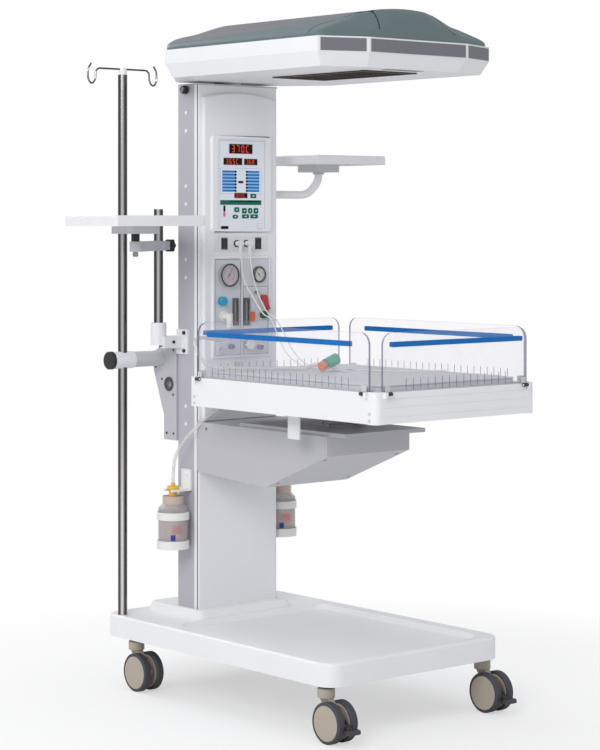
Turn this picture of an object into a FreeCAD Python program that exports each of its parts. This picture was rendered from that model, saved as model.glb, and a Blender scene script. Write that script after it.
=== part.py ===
import FreeCAD, Part
import math
import os

from FreeCAD import Vector

os.makedirs("parts", exist_ok=True)

# Frame: +X to the right of someone facing the warmer, +Y to the back, +Z up.
# X = 0 is the column's middle plane, Y = 0 its front face, Z = 0 the floor. Millimetres.

# Casters
wheel_diameter = 100.0
wheel_width = 21.0
wheel_gap = 20.0
tyre_thickness = 7.0
tyre_chamfer = 3.0
caster_trail = 32.0
caster_half_track = 262.0
caster_front_y = -665.0
caster_rear_y = 103.0
axle_diameter = 8.0
running_gap = 0.05
stem_diameter = 12.0
stem_flange_diameter = 20.0
collar_diameter = 42.0
collar_bottom = 104.0
collar_top = 127.0
fork_thickness = 16.0
pedal_pin_diameter = 5.0
pedal_width = 40.0

# Base
base_half_width = 291.0
base_front_y = -709.0
base_rear_y = 214.0
base_bottom = 133.0
base_top = 190.0
base_corner_radius = 45.0
base_edge_radius = 8.0
base_wall = 4.0
tray_half_width = 250.0
tray_front_y = -682.0
tray_rear_y = -52.0
tray_depth = 14.0
tray_corner_radius = 45.0
boss_half_width = 166.0
boss_front_y = -44.0
boss_top = 209.0
boss_taper = 14.0
frame_tube_width = 30.0
frame_tube_height = 32.0
frame_tube_wall = 2.0
seat_gap = 0.3
foot_plate_thickness = 6.0

# Column
column_half_width = 139.0
column_depth = 85.5
column_top = 1600.0
column_wall = 2.5
front_cover_depth = 12.0
front_corner_radius = 11.0
side_hole_diameter = 6.5
side_hole_y = 48.0
side_hole_first_z = 721.0
side_hole_pitch = 195.5
side_hole_spacing = 48.0
side_hole_pairs = 5
fascia_half_width = 124.0
fascia_side_top = 1567.0
fascia_crown_top = 1582.0
fascia_depth = 12.0
fascia_wall = 3.0

# Control panel, socket strip and gas panel
bezel_half_width = 103.0
bezel_bottom = 1208.0
bezel_top = 1467.0
bezel_depth = 7.0
bezel_border = 22.0
panel_face_depth = 3.0
socket_strip_half_width = 92.0
socket_strip_bottom = 1157.0
socket_strip_top = 1199.0
socket_strip_depth = 2.0
socket_z = 1178.0
socket_x = 16.0
socket_diameter = 19.0
rocker_x = 58.0
rocker_width = 15.0
rocker_height = 25.0
lead_start_y = -31.0
strip_overlap = 5.0
gas_half_width = 101.0
gas_bottom = 871.0
gas_top = 1145.0
gas_frame_depth = 6.0
gas_frame_border = 7.0
gauge_left_diameter = 62.0
gauge_right_diameter = 44.0
gauge_z = 1094.0
gauge_left_x = -51.0
gauge_right_x = 58.0
flow_left_x = -22.0
flow_right_x = 16.0
flow_bottom = 958.0
flow_top = 1032.0

# Hood
hood_half_width = 288.0
hood_front_half = 165.0
hood_front_y = -710.0
hood_front_side_y = -664.0
hood_rear_side_y = -58.0
hood_rear_y = 112.0
hood_rear_half = 150.0
hood_bottom = 1610.0
hood_band_bottom = 1645.0
hood_rim = 1681.0
hood_top = 1770.0
hood_taper = 20.0
hood_wall = 3.0
swivel_y = 43.0
spindle_diameter = 50.0
spindle_length = 74.0
bearing_diameter = 78.0
bearing_height = 8.0
heater_y = -430.0
heater_length = 340.0
heater_half_width = 82.0
heater_rod_diameter = 14.0
heater_rod_z = 1640.0
guard_wire_diameter = 2.6
guard_pitch = 20.0
lamp_y = -652.0
lamp_half_width = 62.0

# Bed
bed_half_width = 266.0
bed_front_y = -846.0
bed_rear_y = -131.0
rail_bottom = 765.0
rail_top = 838.5
rail_thickness = 22.0
rail_wall = 2.0
corner_size = 30.0
corner_radius = 16.0
deck_top = 800.0
deck_thickness = 4.0
pan_bottom = 762.0
mattress_top = 856.0
mattress_gap = 6.0
wall_thickness = 6.0
wall_top = 978.0
wall_bottom = 841.0
wall_corner_radius = 30.0
wall_inset = 4.0
side_wall_end_gap = 30.0
end_wall_end_gap = 26.0
hinge_z = 835.5
hinge_pin_diameter = 4.0
knuckle_diameter = 9.0
knuckle_length = 14.0

# Bed tilt support
housing_half_width = 139.0
housing_top = 706.0
housing_front_y = -526.0
housing_front_bottom = 656.0
housing_knee_y = -284.0
housing_knee_z = 558.0
housing_rear_bottom = 576.0
housing_wall = 2.5
support_front_y = -590.0
support_rear_y = -172.0
support_thickness = 10.0
support_half_width = 134.0
pivot_y = -420.0
pivot_z = 734.0
pivot_pin_diameter = 14.0
yoke_half_gap = 52.0
yoke_thickness = 12.0
yoke_radius = 13.0
lug_clearance = 0.3
lever_x = -200.0
lever_y = -472.0
lever_width = 44.0
lever_drop = 60.0

# Rear housing, push handle and infusion pole
rear_housing_half_width = 143.0
rear_housing_wall = 3.0
handle_y = 155.0
handle_z = 868.0
handle_diameter = 42.0
sleeve_diameter = 46.0
cap_diameter = 48.0
handle_end_x = -305.0
sleeve_end_x = -239.0
pole_x = -270.0
pole_diameter = 25.0
pole_wall = 1.5
pole_top = 1628.0
hook_span = 174.0
hook_wire_diameter = 5.0

# Side shelves
left_post_x = -203.0
left_post_y = 85.0
left_post_bottom = 912.0
left_post_top = 1270.0
left_post_diameter = 25.0
left_shelf_x = -376.5
left_shelf_y = -50.0
left_shelf_width = 285.0
left_shelf_length = 229.0
left_shelf_top = 1253.0
shelf_thickness = 27.0
left_arm_bottom = 1160.0
left_arm_top = 1186.0
right_shelf_x = 337.0
right_shelf_y = 60.0
right_shelf_width = 253.0
right_shelf_length = 291.0
right_shelf_top = 1419.0
right_shelf_thickness = 24.0
right_arm_z = 1311.0
right_arm_diameter = 22.0
shelf_lip = 3.0

# Suction bottles, hoses and leads
suction_outlet_x = -30.0
suction_outlet_y = -27.0
bottle_x = 186.0
bottle_y = 43.0
bottle_bottom = 371.0
bottle_radius = 42.0
cap_head_height = 157.2
suction_hose_diameter = 9.0
oxygen_hose_diameter = 10.0
probe_lead_diameter = 3.0
connector_diameter = 29.0
connector_length = 40.0
connector_lean = 20.0
connector_x = -72.0
connector_y = -425.0
suction_hose_route = [
    (-186.0, 43.0, 545.0),
    (-186.0, 43.0, 600.0),
    (-182.0, 18.0, 645.0),
    (-162.0, -12.0, 685.0),
    (-120.0, -24.0, 722.0),
    (-60.0, -26.0, 748.0),
    (-30.0, -27.0, 780.0),
    (-30.0, -27.0, 829.0),
]
oxygen_hose_route = [
    (-62.0, -42.0, 966.0),
    (-62.0, -42.0, 938.0),
    (-104.0, -66.0, 922.0),
    (-160.0, -98.0, 930.0),
    (-212.0, -112.0, 938.0),
    (-250.0, -128.0, 930.0),
    (-251.0, -150.0, 902.0),
    (-246.0, -162.0, 878.0),
    (-224.0, -184.0, 861.6),
    (-180.0, -224.0, 861.4),
    (-130.0, -266.0, 861.5),
    (-78.0, -304.0, 861.4),
    (-46.0, -340.0, 861.6),
    (-50.0, -366.0, 868.0),
    (-58.8, -386.0, 875.0),
    (-58.8, -406.6, 875.0),
]
probe_route_left = [
    (-16.0, -31.0, 1151.8),
    (-18.0, -38.0, 1110.0),
    (-22.0, -58.0, 1070.0),
    (-16.0, -90.0, 1030.0),
    (-12.0, -124.0, 988.0),
    (-10.0, -148.0, 986.0),
    (2.0, -164.0, 940.0),
    (14.0, -188.0, 885.0),
    (26.0, -236.0, 858.2),
    (24.0, -290.0, 857.9),
    (8.0, -345.0, 857.9),
    (-8.0, -395.0, 857.9),
    (-4.0, -446.0, 857.9),
]
probe_route_right = [
    (16.0, -31.0, 1151.8),
    (15.0, -38.0, 1112.0),
    (10.0, -58.0, 1072.0),
    (4.0, -88.0, 1032.0),
    (4.0, -122.0, 990.0),
    (8.0, -148.0, 987.0),
    (24.0, -166.0, 940.0),
    (40.0, -186.0, 890.0),
    (52.0, -222.0, 859.0),
    (62.0, -272.0, 857.9),
    (60.0, -330.0, 857.9),
    (50.0, -390.0, 857.9),
    (56.0, -448.0, 857.9),
    (76.0, -505.0, 857.9),
    (112.0, -550.0, 857.9),
    (168.0, -575.0, 857.9),
    (205.0, -585.0, 857.9),
]


def box(x0, x1, y0, y1, z0, z1):
    return Part.makeBox(x1 - x0, y1 - y0, z1 - z0, Vector(x0, y0, z0))


def rod(start, direction, diameter, length):
    return Part.makeCylinder(diameter / 2.0, length, Vector(*start), Vector(*direction))


def cone(start, direction, diameter0, diameter1, length):
    return Part.makeCone(diameter0 / 2.0, diameter1 / 2.0, length, Vector(*start), Vector(*direction))


def wire_of(points):
    return Part.makePolygon([Vector(*p) for p in points] + [Vector(*points[0])])


def prism(points, sweep):
    return Part.Face(wire_of(points)).extrude(Vector(*sweep))


def rounded_wire(x0, x1, y0, y1, z, r):
    k = r * (1.0 - math.sqrt(0.5))
    corners = [(x1, y1, -1, -1), (x0, y1, 1, -1), (x0, y0, 1, 1), (x1, y0, -1, 1)]
    edges = []
    starts = []
    for i, (cx, cy, sx, sy) in enumerate(corners):
        along_y = Vector(cx, cy + sy * r, z)
        along_x = Vector(cx + sx * r, cy, z)
        middle = Vector(cx + sx * k, cy + sy * k, z)
        first, last = (along_y, along_x) if i % 2 == 0 else (along_x, along_y)
        edges.append(Part.Arc(first, middle, last).toShape())
        starts.append((first, last))
    lines = []
    for i in range(4):
        lines.append(Part.makeLine(starts[i][1], starts[(i + 1) % 4][0]))
    return Part.Wire(Part.__sortEdges__(edges + lines))


def rounded_block(x0, x1, y0, y1, z0, z1, r):
    return Part.Face(rounded_wire(x0, x1, y0, y1, z0, r)).extrude(Vector(0, 0, z1 - z0))


def rounded_taper(lower, upper, z0, z1, r0, r1):
    wires = [rounded_wire(*lower, z0, r0), rounded_wire(*upper, z1, r1)]
    return Part.makeLoft(wires, True, True)


def upright_panel(x0, x1, y0, y1, z0, z1, r):
    flat = rounded_block(x0, x1, z0, z1, 0, y1 - y0, r)
    flat.rotate(Vector(0, 0, 0), Vector(1, 0, 0), 90)
    flat.translate(Vector(0, y1, 0))
    return flat


def round_edges(shape, radius, wanted):
    edges = [e for e in shape.Edges if wanted(e)]
    return shape.makeFillet(radius, edges)


def bevel_edges(shape, size, wanted):
    edges = [e for e in shape.Edges if wanted(e)]
    return shape.makeChamfer(size, edges)


def level_edges_at(z):
    return lambda e: abs(e.BoundBox.ZMin - z) < 0.01 and abs(e.BoundBox.ZMax - z) < 0.01


def edges_at_y(y):
    return lambda e: abs(e.BoundBox.YMin - y) < 0.01 and abs(e.BoundBox.YMax - y) < 0.01


def mirrored(shape):
    return shape.mirror(Vector(0, 0, 0), Vector(1, 0, 0))


def moved(shape, x, y, z):
    copy = shape.copy()
    copy.translate(Vector(x, y, z))
    return copy


def join(shapes):
    result = shapes[0]
    for shape in shapes[1:]:
        result = result.fuse(shape)
    return result.removeSplitter()


def export(node, shapes):
    solids = []
    for shape in shapes:
        solids.extend(shape.Solids)
    shape = solids[0] if len(solids) == 1 else Part.makeCompound(solids)
    shape.exportStep("parts/" + node + ".step")


def tube_route(points, diameter):
    # Straight runs joined by tangent arcs.
    nodes = [Vector(*p) for p in points]
    pieces = []
    last = nodes[0]
    for i in range(1, len(nodes) - 1):
        before = nodes[i - 1] - nodes[i]
        after = nodes[i + 1] - nodes[i]
        reach = 0.45 * min(before.Length, after.Length)
        before.normalize()
        after.normalize()
        turn = math.pi - before.getAngle(after)
        radius = reach / math.tan(turn / 2.0)
        start = nodes[i] + before * reach
        inward = before + after
        inward.normalize()
        centre = nodes[i] + inward * (radius / math.cos(turn / 2.0))
        axis = after.cross(before)
        pieces.append(Part.makeCylinder(diameter / 2.0, (start - last).Length, last, start - last))
        ring = Part.Face(Part.Wire(Part.makeCircle(diameter / 2.0, start, before)))
        pieces.append(ring.revolve(centre, axis * -1.0, -math.degrees(turn)))
        last = nodes[i] + after * reach
    pieces.append(Part.makeCylinder(diameter / 2.0, (nodes[-1] - last).Length, last, nodes[-1] - last))
    return pieces[0].multiFuse(pieces[1:]).removeSplitter()


# Casters

def caster_fork():
    collar = rod((0, 0, collar_bottom), (0, 0, 1), collar_diameter, collar_top - collar_bottom)
    collar = bevel_edges(collar, 2.0, level_edges_at(collar_top))
    axle_z = wheel_diameter / 2.0
    half = fork_thickness / 2.0
    reach = collar_diameter / 2.0 - 4.0
    outline = [
        (-half, reach, collar_bottom + 1.0),
        (-half, 6.0 - caster_trail / 2.0, axle_z + 14.0),
        (-half, 8.0 - caster_trail, axle_z - 12.0),
        (-half, -8.0 - caster_trail, axle_z - 12.0),
        (-half, -14.0 - caster_trail, axle_z + 8.0),
        (-half, -reach, collar_bottom + 1.0),
    ]
    leg = prism(outline, (fork_thickness, 0, 0))
    boss = rod((-half, -caster_trail, axle_z), (1, 0, 0), 30.0, fork_thickness)
    lobe_half = half - 4.5
    lobe = prism([
        (-lobe_half, -caster_trail, axle_z + 12.0),
        (-lobe_half, -caster_trail, axle_z - 6.0),
        (-lobe_half, -caster_trail - 30.0, axle_z - 4.0),
        (-lobe_half, -caster_trail - 30.0, axle_z + 8.0),
    ], (2 * lobe_half, 0, 0))
    axle_half = wheel_gap / 2.0 + wheel_width - 5.0
    axle = rod((-axle_half, -caster_trail, axle_z), (1, 0, 0), axle_diameter, 2 * axle_half)
    pin = rod((-half, -caster_trail - 28.0, axle_z + 2.0), (1, 0, 0), pedal_pin_diameter, fork_thickness)
    fork = join([collar, leg, boss, lobe, axle, pin])
    bore = rod((0, 0, collar_bottom + 5.0), (0, 0, 1), stem_diameter + 2 * running_gap, 40.0)
    return fork.cut(bore)


def wheel_hub():
    radius = wheel_diameter / 2.0 - tyre_thickness
    x0 = wheel_gap / 2.0
    hub = rod((x0, 0, 0), (1, 0, 0), 2 * radius, wheel_width)
    hub = bevel_edges(hub, 1.5, lambda e: abs(e.BoundBox.XMax - x0 - wheel_width) < 0.01)
    dish = rod((x0 - 1.0, 0, 0), (1, 0, 0), 2 * radius - 12.0, 7.0)
    dish = dish.cut(rod((x0 - 1.0, 0, 0), (1, 0, 0), 24.0, 7.0))
    bore = rod((x0 - 1.0, 0, 0), (1, 0, 0), axle_diameter + 2 * running_gap, wheel_width - 3.0)
    return hub.cut(dish).cut(bore)


def wheel_tyre():
    outer = wheel_diameter / 2.0
    inner = outer - tyre_thickness
    x0 = wheel_gap / 2.0
    x1 = x0 + wheel_width
    profile = [
        (x0, inner, 0),
        (x0, outer - tyre_chamfer, 0),
        (x0 + tyre_chamfer, outer, 0),
        (x1 - tyre_chamfer, outer, 0),
        (x1, outer - tyre_chamfer, 0),
        (x1, inner, 0),
    ]
    return Part.Face(wire_of(profile)).revolve(Vector(0, 0, 0), Vector(1, 0, 0), 360)


def brake_pedal():
    half = fork_thickness / 2.0
    pin_y = -caster_trail - 28.0
    pin_z = wheel_diameter / 2.0 + 2.0
    front = -caster_trail - wheel_diameter / 2.0
    arm = prism([
        (-half, pin_y, pin_z + 6.0),
        (-half, pin_y, pin_z - 6.0),
        (-half, front - 4.0, pin_z - 20.0),
        (-half, front - 4.0, pin_z - 10.0),
    ], (fork_thickness, 0, 0))
    eye = rod((-half, pin_y, pin_z), (1, 0, 0), 12.0, fork_thickness)
    paddle = rounded_block(-pedal_width / 2.0, pedal_width / 2.0, front - 24.0, front - 3.0,
                           pin_z - 21.0, pin_z - 11.0, 7.0)
    paddle = bevel_edges(paddle, 2.5, level_edges_at(pin_z - 11.0))
    pedal = join([arm, eye, paddle])
    slot_half = half - 4.5 + 0.3
    slot = box(-slot_half, slot_half, front + 10.0, pin_y + 20.0, pin_z - 30.0, pin_z + 20.0)
    bore = rod((-half - 1, pin_y, pin_z), (1, 0, 0), pedal_pin_diameter + 2 * running_gap, fork_thickness + 2)
    return pedal.cut(slot).cut(bore)


def caster_places():
    places = []
    for end, y in (("front", caster_front_y), ("rear", caster_rear_y)):
        for side, x in (("left", -caster_half_track), ("right", caster_half_track)):
            places.append(("caster_" + end + "_" + side, x, y))
    return places


def caster_stem(x, y):
    stem_bottom = collar_bottom + 5.5
    pin = rod((x, y, stem_bottom), (0, 0, 1), stem_diameter, frame_top() - 4.0 - stem_bottom)
    flange_bottom = collar_top + 0.4
    flange = rod((x, y, flange_bottom), (0, 0, 1), stem_flange_diameter, frame_bottom() - flange_bottom)
    return join([pin, flange])


def make_casters():
    for name, x, y in caster_places():
        export(name + "_fork", [moved(caster_fork(), x, y, 0)])
        wheels = [wheel_hub(), mirrored(wheel_hub()), wheel_tyre(), mirrored(wheel_tyre())]
        export(name + "_wheels", [moved(w, x, y - caster_trail, wheel_diameter / 2.0) for w in wheels])
        if "front" in name:
            export(name + "_pedal", [moved(brake_pedal(), x, y, 0)])


# Base

def tray_floor_underside():
    return base_top - tray_depth - base_wall


def frame_top():
    return tray_floor_underside() - seat_gap


def frame_bottom():
    return frame_top() - frame_tube_height


def square_tube(x0, x1, y0, y1):
    outer = box(x0, x1, y0, y1, frame_bottom(), frame_top())
    t = frame_tube_wall
    return outer, box(x0 + t, x1 - t, y0 + t, y1 - t, frame_bottom() + t, frame_top() - t)


def make_base_frame():
    half = frame_tube_width / 2.0
    front = base_front_y + 22.0
    rear = base_rear_y - 22.0
    tubes = []
    for x in (-caster_half_track, caster_half_track):
        tubes.append(square_tube(x - half, x + half, front, rear))
    inner = caster_half_track - half
    middle = column_depth / 2.0
    for y in (caster_front_y + 90.0, -300.0, middle - 34.0, middle + 34.0):
        tubes.append(square_tube(-inner - 1.0, inner + 1.0, y - half, y + half))
    solid = join([t[0] for t in tubes])
    hollow = [t[1] for t in tubes]
    for void in hollow:
        solid = solid.cut(void)
    plate = box(-column_half_width + 6, column_half_width - 6, -6.0, column_depth - 4,
                frame_top() - 0.01, frame_top() + foot_plate_thickness)
    solid = join([solid, plate])
    for y in (caster_front_y, caster_rear_y):
        for x in (-caster_half_track, caster_half_track):
            solid = join([solid, rod((x, y, frame_bottom()), (0, 0, 1), 24.0, frame_tube_height - 2.0)])
            solid = solid.cut(rod((x, y, frame_bottom() - 1.0), (0, 0, 1), stem_diameter, frame_tube_height - 2.0))
    export("base_frame", [solid] + [caster_stem(x, y) for name, x, y in caster_places()])


def make_base_cover():
    outer = rounded_block(-base_half_width, base_half_width, base_front_y, base_rear_y,
                          base_bottom, base_top, base_corner_radius)
    outer = round_edges(outer, base_edge_radius, level_edges_at(base_top))
    low = (-boss_half_width, boss_half_width, boss_front_y, base_rear_y - 10.0)
    high = (-boss_half_width + boss_taper, boss_half_width - boss_taper,
            boss_front_y + boss_taper, base_rear_y - 10.0 - boss_taper)
    boss = rounded_taper(low, high, base_top - 6.0, boss_top, 28.0, 16.0)
    cover = join([outer, boss])
    t = base_wall
    floor = tray_floor_underside()
    cavity = rounded_block(-base_half_width + t, base_half_width - t, base_front_y + t, base_rear_y - t,
                           base_bottom - 1.0, floor, base_corner_radius - t)
    inner_low = (low[0] + 2 * t, low[1] - 2 * t, low[2] + 2 * t, low[3] - 2 * t)
    inner_high = (high[0] + t, high[1] - t, high[2] + t, high[3] - t)
    boss_room = rounded_taper(inner_low, inner_high, floor - 1.0, boss_top - t, 24.0, 14.0)
    tray_low = (-tray_half_width + 8.0, tray_half_width - 8.0, tray_front_y + 8.0, tray_rear_y - 8.0)
    tray_high = (-tray_half_width, tray_half_width, tray_front_y, tray_rear_y)
    tray = rounded_taper(tray_low, tray_high, base_top - tray_depth, base_top + 1.0,
                         tray_corner_radius - 8.0, tray_corner_radius)
    cover = cover.cut(cavity).cut(boss_room).cut(tray)
    fit = 0.3
    column_hole = box(-column_half_width - fit, column_half_width + fit, -fit, column_depth + fit,
                      floor, boss_top + 10.0)
    pole_hole = rod((pole_x, handle_y, floor - 1.0), (0, 0, 1), pole_diameter + 2 * fit, 60.0)
    export("base_cover", [cover.cut(column_hole).cut(pole_hole)])


# Column

def column_foot():
    return frame_top() + foot_plate_thickness


def side_hole_heights():
    heights = []
    for pair in range(side_hole_pairs):
        centre = side_hole_first_z + pair * side_hole_pitch
        heights.extend([centre - side_hole_spacing / 2.0, centre + side_hole_spacing / 2.0])
    return heights


def bracket_centre():
    # The post's bracket uses the second pair of holes from the bottom.
    return side_hole_first_z + side_hole_pitch


def lock_knob_z():
    return column_top - 12.0


def make_column():
    t = column_wall
    w = column_half_width
    z0 = column_foot()
    outer = box(-w, w, front_cover_depth, column_depth, z0, column_top)
    outer = round_edges(outer, 4.0, lambda e: abs(e.BoundBox.YMin - column_depth) < 0.01
                        and e.BoundBox.ZLength > 500)
    inner = box(-w + t, w - t, front_cover_depth + t, column_depth - t, z0 - 1, column_top + 1)
    mouth = box(-w + 26, w - 26, front_cover_depth - 1, front_cover_depth + t + 1, z0 - 1, column_top + 1)
    body = outer.cut(inner).cut(mouth)
    for z in side_hole_heights():
        body = body.cut(rod((-w - 1, side_hole_y, z), (1, 0, 0), side_hole_diameter, 2 * w + 2))
    body = body.cut(rod((-w - 1, swivel_y, lock_knob_z()), (1, 0, 0), 9.0, 20.0))

    front = box(-w, w, 0, front_cover_depth, z0, column_top)
    front = round_edges(front, front_corner_radius, lambda e: abs(e.BoundBox.YMax) < 0.01
                        and e.BoundBox.ZLength > 500)
    front = front.cut(box(-w + t, w - t, t, front_cover_depth + 1, z0 - 1, column_top + 1))
    edge = 12.0
    front = front.cut(box(-bezel_half_width + edge, bezel_half_width - edge, -1, t + 1,
                          bezel_bottom + edge, bezel_top - edge))
    front = front.cut(box(-gas_half_width + edge, gas_half_width - edge, -1, t + 1,
                          gas_bottom + edge, gas_top - edge))
    export("column_front", [front])

    plugs = []
    for z in side_hole_heights():
        if abs(z - bracket_centre()) < side_hole_spacing:
            continue
        # A flat disc closes the hole from outside.
        plugs.append(rod((-w, side_hole_y, z), (-1, 0, 0), 10.0, 1.5))

    w0 = w - t - 0.3
    head = box(-w0, w0, front_cover_depth + t + 0.3, column_depth - t - 0.3, column_top - 60.0, column_top)
    cap = rounded_block(-w, w, 0, column_depth, column_top, column_top + 4.0, 4.0)
    ring = rod((0, swivel_y, column_top + 4.0), (0, 0, 1), bearing_diameter, bearing_height)
    head = join([head, cap, ring])
    head = head.cut(rod((0, swivel_y, column_top - 70), (0, 0, 1), spindle_diameter + 2 * running_gap, 100))
    head = head.cut(rod((-w, swivel_y, lock_knob_z()), (1, 0, 0), 8.0 + 2 * running_gap, w))
    export("column_body", [body, head])
    return plugs


def make_lock_knob():
    z = lock_knob_z()
    start = -column_half_width - 3.0
    tip = -spindle_diameter / 2.0 - 0.3
    shaft = rod((start, swivel_y, z), (1, 0, 0), 8.0, tip - start)
    grip = rod((start, swivel_y, z), (-1, 0, 0), 22.0, 14.0)
    grip = round_edges(grip, 2.5, lambda e: abs(e.BoundBox.XMin - start + 14.0) < 0.01
                       and e.BoundBox.XLength < 0.01)
    for k in range(6):
        a = math.radians(60 * k)
        y = swivel_y + 13.0 * math.cos(a)
        zz = z + 13.0 * math.sin(a)
        grip = grip.cut(rod((start + 1, y, zz), (-1, 0, 0), 8.0, 20.0))
    export("hood_lock_knob", [join([shaft, grip])])


def fascia_bottom():
    return housing_top + seat_gap


def make_fascia():
    w = fascia_half_width
    y0 = -fascia_depth
    rise = fascia_crown_top - fascia_side_top
    edges = [
        Part.makeLine(Vector(-w, y0, fascia_bottom()), Vector(w, y0, fascia_bottom())),
        Part.makeLine(Vector(w, y0, fascia_bottom()), Vector(w, y0, fascia_side_top)),
        Part.Arc(Vector(w, y0, fascia_side_top), Vector(0, y0, fascia_side_top + rise),
                 Vector(-w, y0, fascia_side_top)).toShape(),
        Part.makeLine(Vector(-w, y0, fascia_side_top), Vector(-w, y0, fascia_bottom())),
    ]
    face = Part.Face(Part.Wire(edges))
    block = face.extrude(Vector(0, fascia_depth, 0))
    block = round_edges(block, 4.0, edges_at_y(y0))
    room = box(-w + fascia_wall, w - fascia_wall, y0 + fascia_wall, 1, fascia_bottom() + fascia_wall,
               fascia_side_top - fascia_wall)
    shell = block.cut(room)
    edge = 8.0
    shell = shell.cut(box(-bezel_half_width + edge, bezel_half_width - edge, y0 - 1, 1,
                          bezel_bottom + edge, bezel_top - edge))
    lap = strip_overlap
    shell = shell.cut(box(-socket_strip_half_width + lap, socket_strip_half_width - lap, y0 - 1, 1,
                          socket_strip_bottom + lap, socket_strip_top - lap))
    shell = shell.cut(box(-gas_half_width + edge, gas_half_width - edge, y0 - 1, 1,
                          gas_bottom + edge, gas_top - edge))
    export("fascia", [shell])


# Control panel and socket strip

def make_control_panel():
    w = bezel_half_width
    back = -fascia_depth
    front = back - bezel_depth
    bezel = upright_panel(-w, w, front, back, bezel_bottom, bezel_top, 9.0)
    bezel = bevel_edges(bezel, 3.0, edges_at_y(front))
    window = upright_panel(-w + bezel_border, w - bezel_border, front - 1, back + 1,
                           bezel_bottom + 9.0, bezel_top - 10.0, 5.0)
    bezel = bezel.cut(window)

    fit = 0.2
    x1 = w - bezel_border - fit
    z0 = bezel_bottom + 9.0 + fit
    z1 = bezel_top - 10.0 - fit
    face_front = front + 2.5
    face = upright_panel(-x1, x1, face_front, face_front + panel_face_depth, z0, z1, 5.0)
    back_box = box(-x1 + 4, x1 - 4, face_front + panel_face_depth, 40.0, z0 + 6, z1 - 6)

    windows = []
    for x, z, dx, dz in ((-4, 1432, 79, 25), (-31.5, 1398, 63, 18), (30, 1397.5, 45, 16), (-4, 1307, 44, 13)):
        windows.append(box(x - dx / 2.0, x + dx / 2.0, face_front - 0.8, face_front, z - dz / 2.0, z + dz / 2.0))

    keys = []
    for x, z, dx, dz, corner in ((39, 1306, 19, 11, 2.0), (-18, 1269, 16, 12, 2.0), (-23, 1250, 18, 10, 4.9),
                                 (8, 1266, 15, 14, 2.5), (28, 1266, 15, 15, 7.4), (48, 1266, 15, 14, 2.5),
                                 (12, 1251, 23, 10, 2.5), (42, 1251, 25, 10, 2.5)):
        keys.append(upright_panel(x - dx / 2.0, x + dx / 2.0, face_front - 1.0, face_front,
                                  z - dz / 2.0, z + dz / 2.0, corner))
    export("control_unit", [bezel, join([face, back_box])] + windows + keys)


def make_socket_strip():
    w = socket_strip_half_width
    back = -fascia_depth
    front = back - socket_strip_depth
    strip = upright_panel(-w, w, front, back, socket_strip_bottom, socket_strip_top, 2.0)
    sockets = []
    for x in (-socket_x, socket_x):
        strip = strip.cut(rod((x, front - 1, socket_z), (0, 1, 0), socket_diameter, 10.0))
        ring = rod((x, front - 2.5, socket_z), (0, 1, 0), socket_diameter - 0.2, 16.0)
        hole = rod((x, front - 3.5, socket_z), (0, 1, 0), socket_diameter - 5.0, 14.0)
        sockets.append(ring.cut(hole))
    for x in (-rocker_x, rocker_x):
        half = rocker_width / 2.0 + 0.3
        strip = strip.cut(box(x - half, x + half, front - 1, back + 1,
                              socket_z - rocker_height / 2.0 - 0.3, socket_z + rocker_height / 2.0 + 0.3))
    cans = []
    for side, x in (("left", -rocker_x), ("right", rocker_x)):
        h = rocker_height / 2.0
        y = front + 1.0
        outline = [(y - 3.2, h), (y - 1.4, 0), (y - 3.2, -h), (y + 5, -h + 3), (y + 7, 0), (y + 5, h - 3)]
        points = [(x - rocker_width / 2.0, py, socket_z + pz) for py, pz in outline]
        rocker = prism(points, (rocker_width, 0, 0))
        rocker = rocker.cut(rod((x - 20, y + 3.0, socket_z), (1, 0, 0), 3.0 + 2 * running_gap, 40.0))
        export("rocker_" + side, [rocker])
        half = rocker_width / 2.0 + 2.5
        can = box(x - half, x + half, back, -0.3, socket_z - h - 2.5, socket_z + h + 2.5)
        can = can.cut(box(x - half + 2, x + half - 2, back - 1, -2.3, socket_z - h - 0.5, socket_z + h + 0.5))
        pin = rod((x - half + 1, y + 3.0, socket_z), (1, 0, 0), 3.0, 2 * half - 2)
        cans.append(join([can, pin]))
    plugs = []
    for x in (-socket_x, socket_x):
        body = rod((x, front - 24.0, socket_z), (0, 1, 0), socket_diameter - 5.4, 24.0)
        relief = rod((x, lead_start_y, socket_z), (0, 0, -1), 9.0, 12.0)
        sleeve = cone((x, lead_start_y, socket_z - 12.0), (0, 0, -1), 9.0, 5.0, 14.0)
        plugs.append(join([body, relief, sleeve]))
    export("socket_strip", [strip] + sockets + cans + plugs)


# Gas panel

def panel_front():
    return -fascia_depth - gas_frame_depth + 2.0


def make_gas_panel():
    w = gas_half_width
    back = -fascia_depth
    front = back - gas_frame_depth
    frame = upright_panel(-w, w, front, back, gas_bottom, gas_top, 4.0)
    frame = bevel_edges(frame, 3.0, edges_at_y(front))
    b = gas_frame_border
    middle = 0.0
    left = (-w + b, middle - 1.5)
    right = (middle + 1.5, w - b)
    for x0, x1 in (left, right):
        frame = frame.cut(box(x0, x1, front - 1, back + 1, gas_bottom + b, gas_top - b))
    plates = []
    face = panel_front()
    for x0, x1 in (left, right):
        plate = box(x0 + 0.1, x1 - 0.1, face, back, gas_bottom + b + 0.1, gas_top - b - 0.1)
        plates.append(plate)
    cuts = [
        rod((gauge_left_x, -60, gauge_z), (0, 1, 0), gauge_left_diameter - 8, 80),
        rod((gauge_right_x, -60, gauge_z), (0, 1, 0), gauge_right_diameter - 8, 80),
    ]
    for x in (flow_left_x, flow_right_x):
        cuts.append(box(x - 10, x + 10, -60, 20, flow_bottom, flow_top))
    for x, z, d in knob_places():
        cuts.append(rod((x, -60, z), (0, 1, 0), d, 80))
    done = []
    for plate in plates:
        for cut in cuts:
            plate = plate.cut(cut)
        done.append(plate)
    export("gas_panel", [frame] + done)


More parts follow.
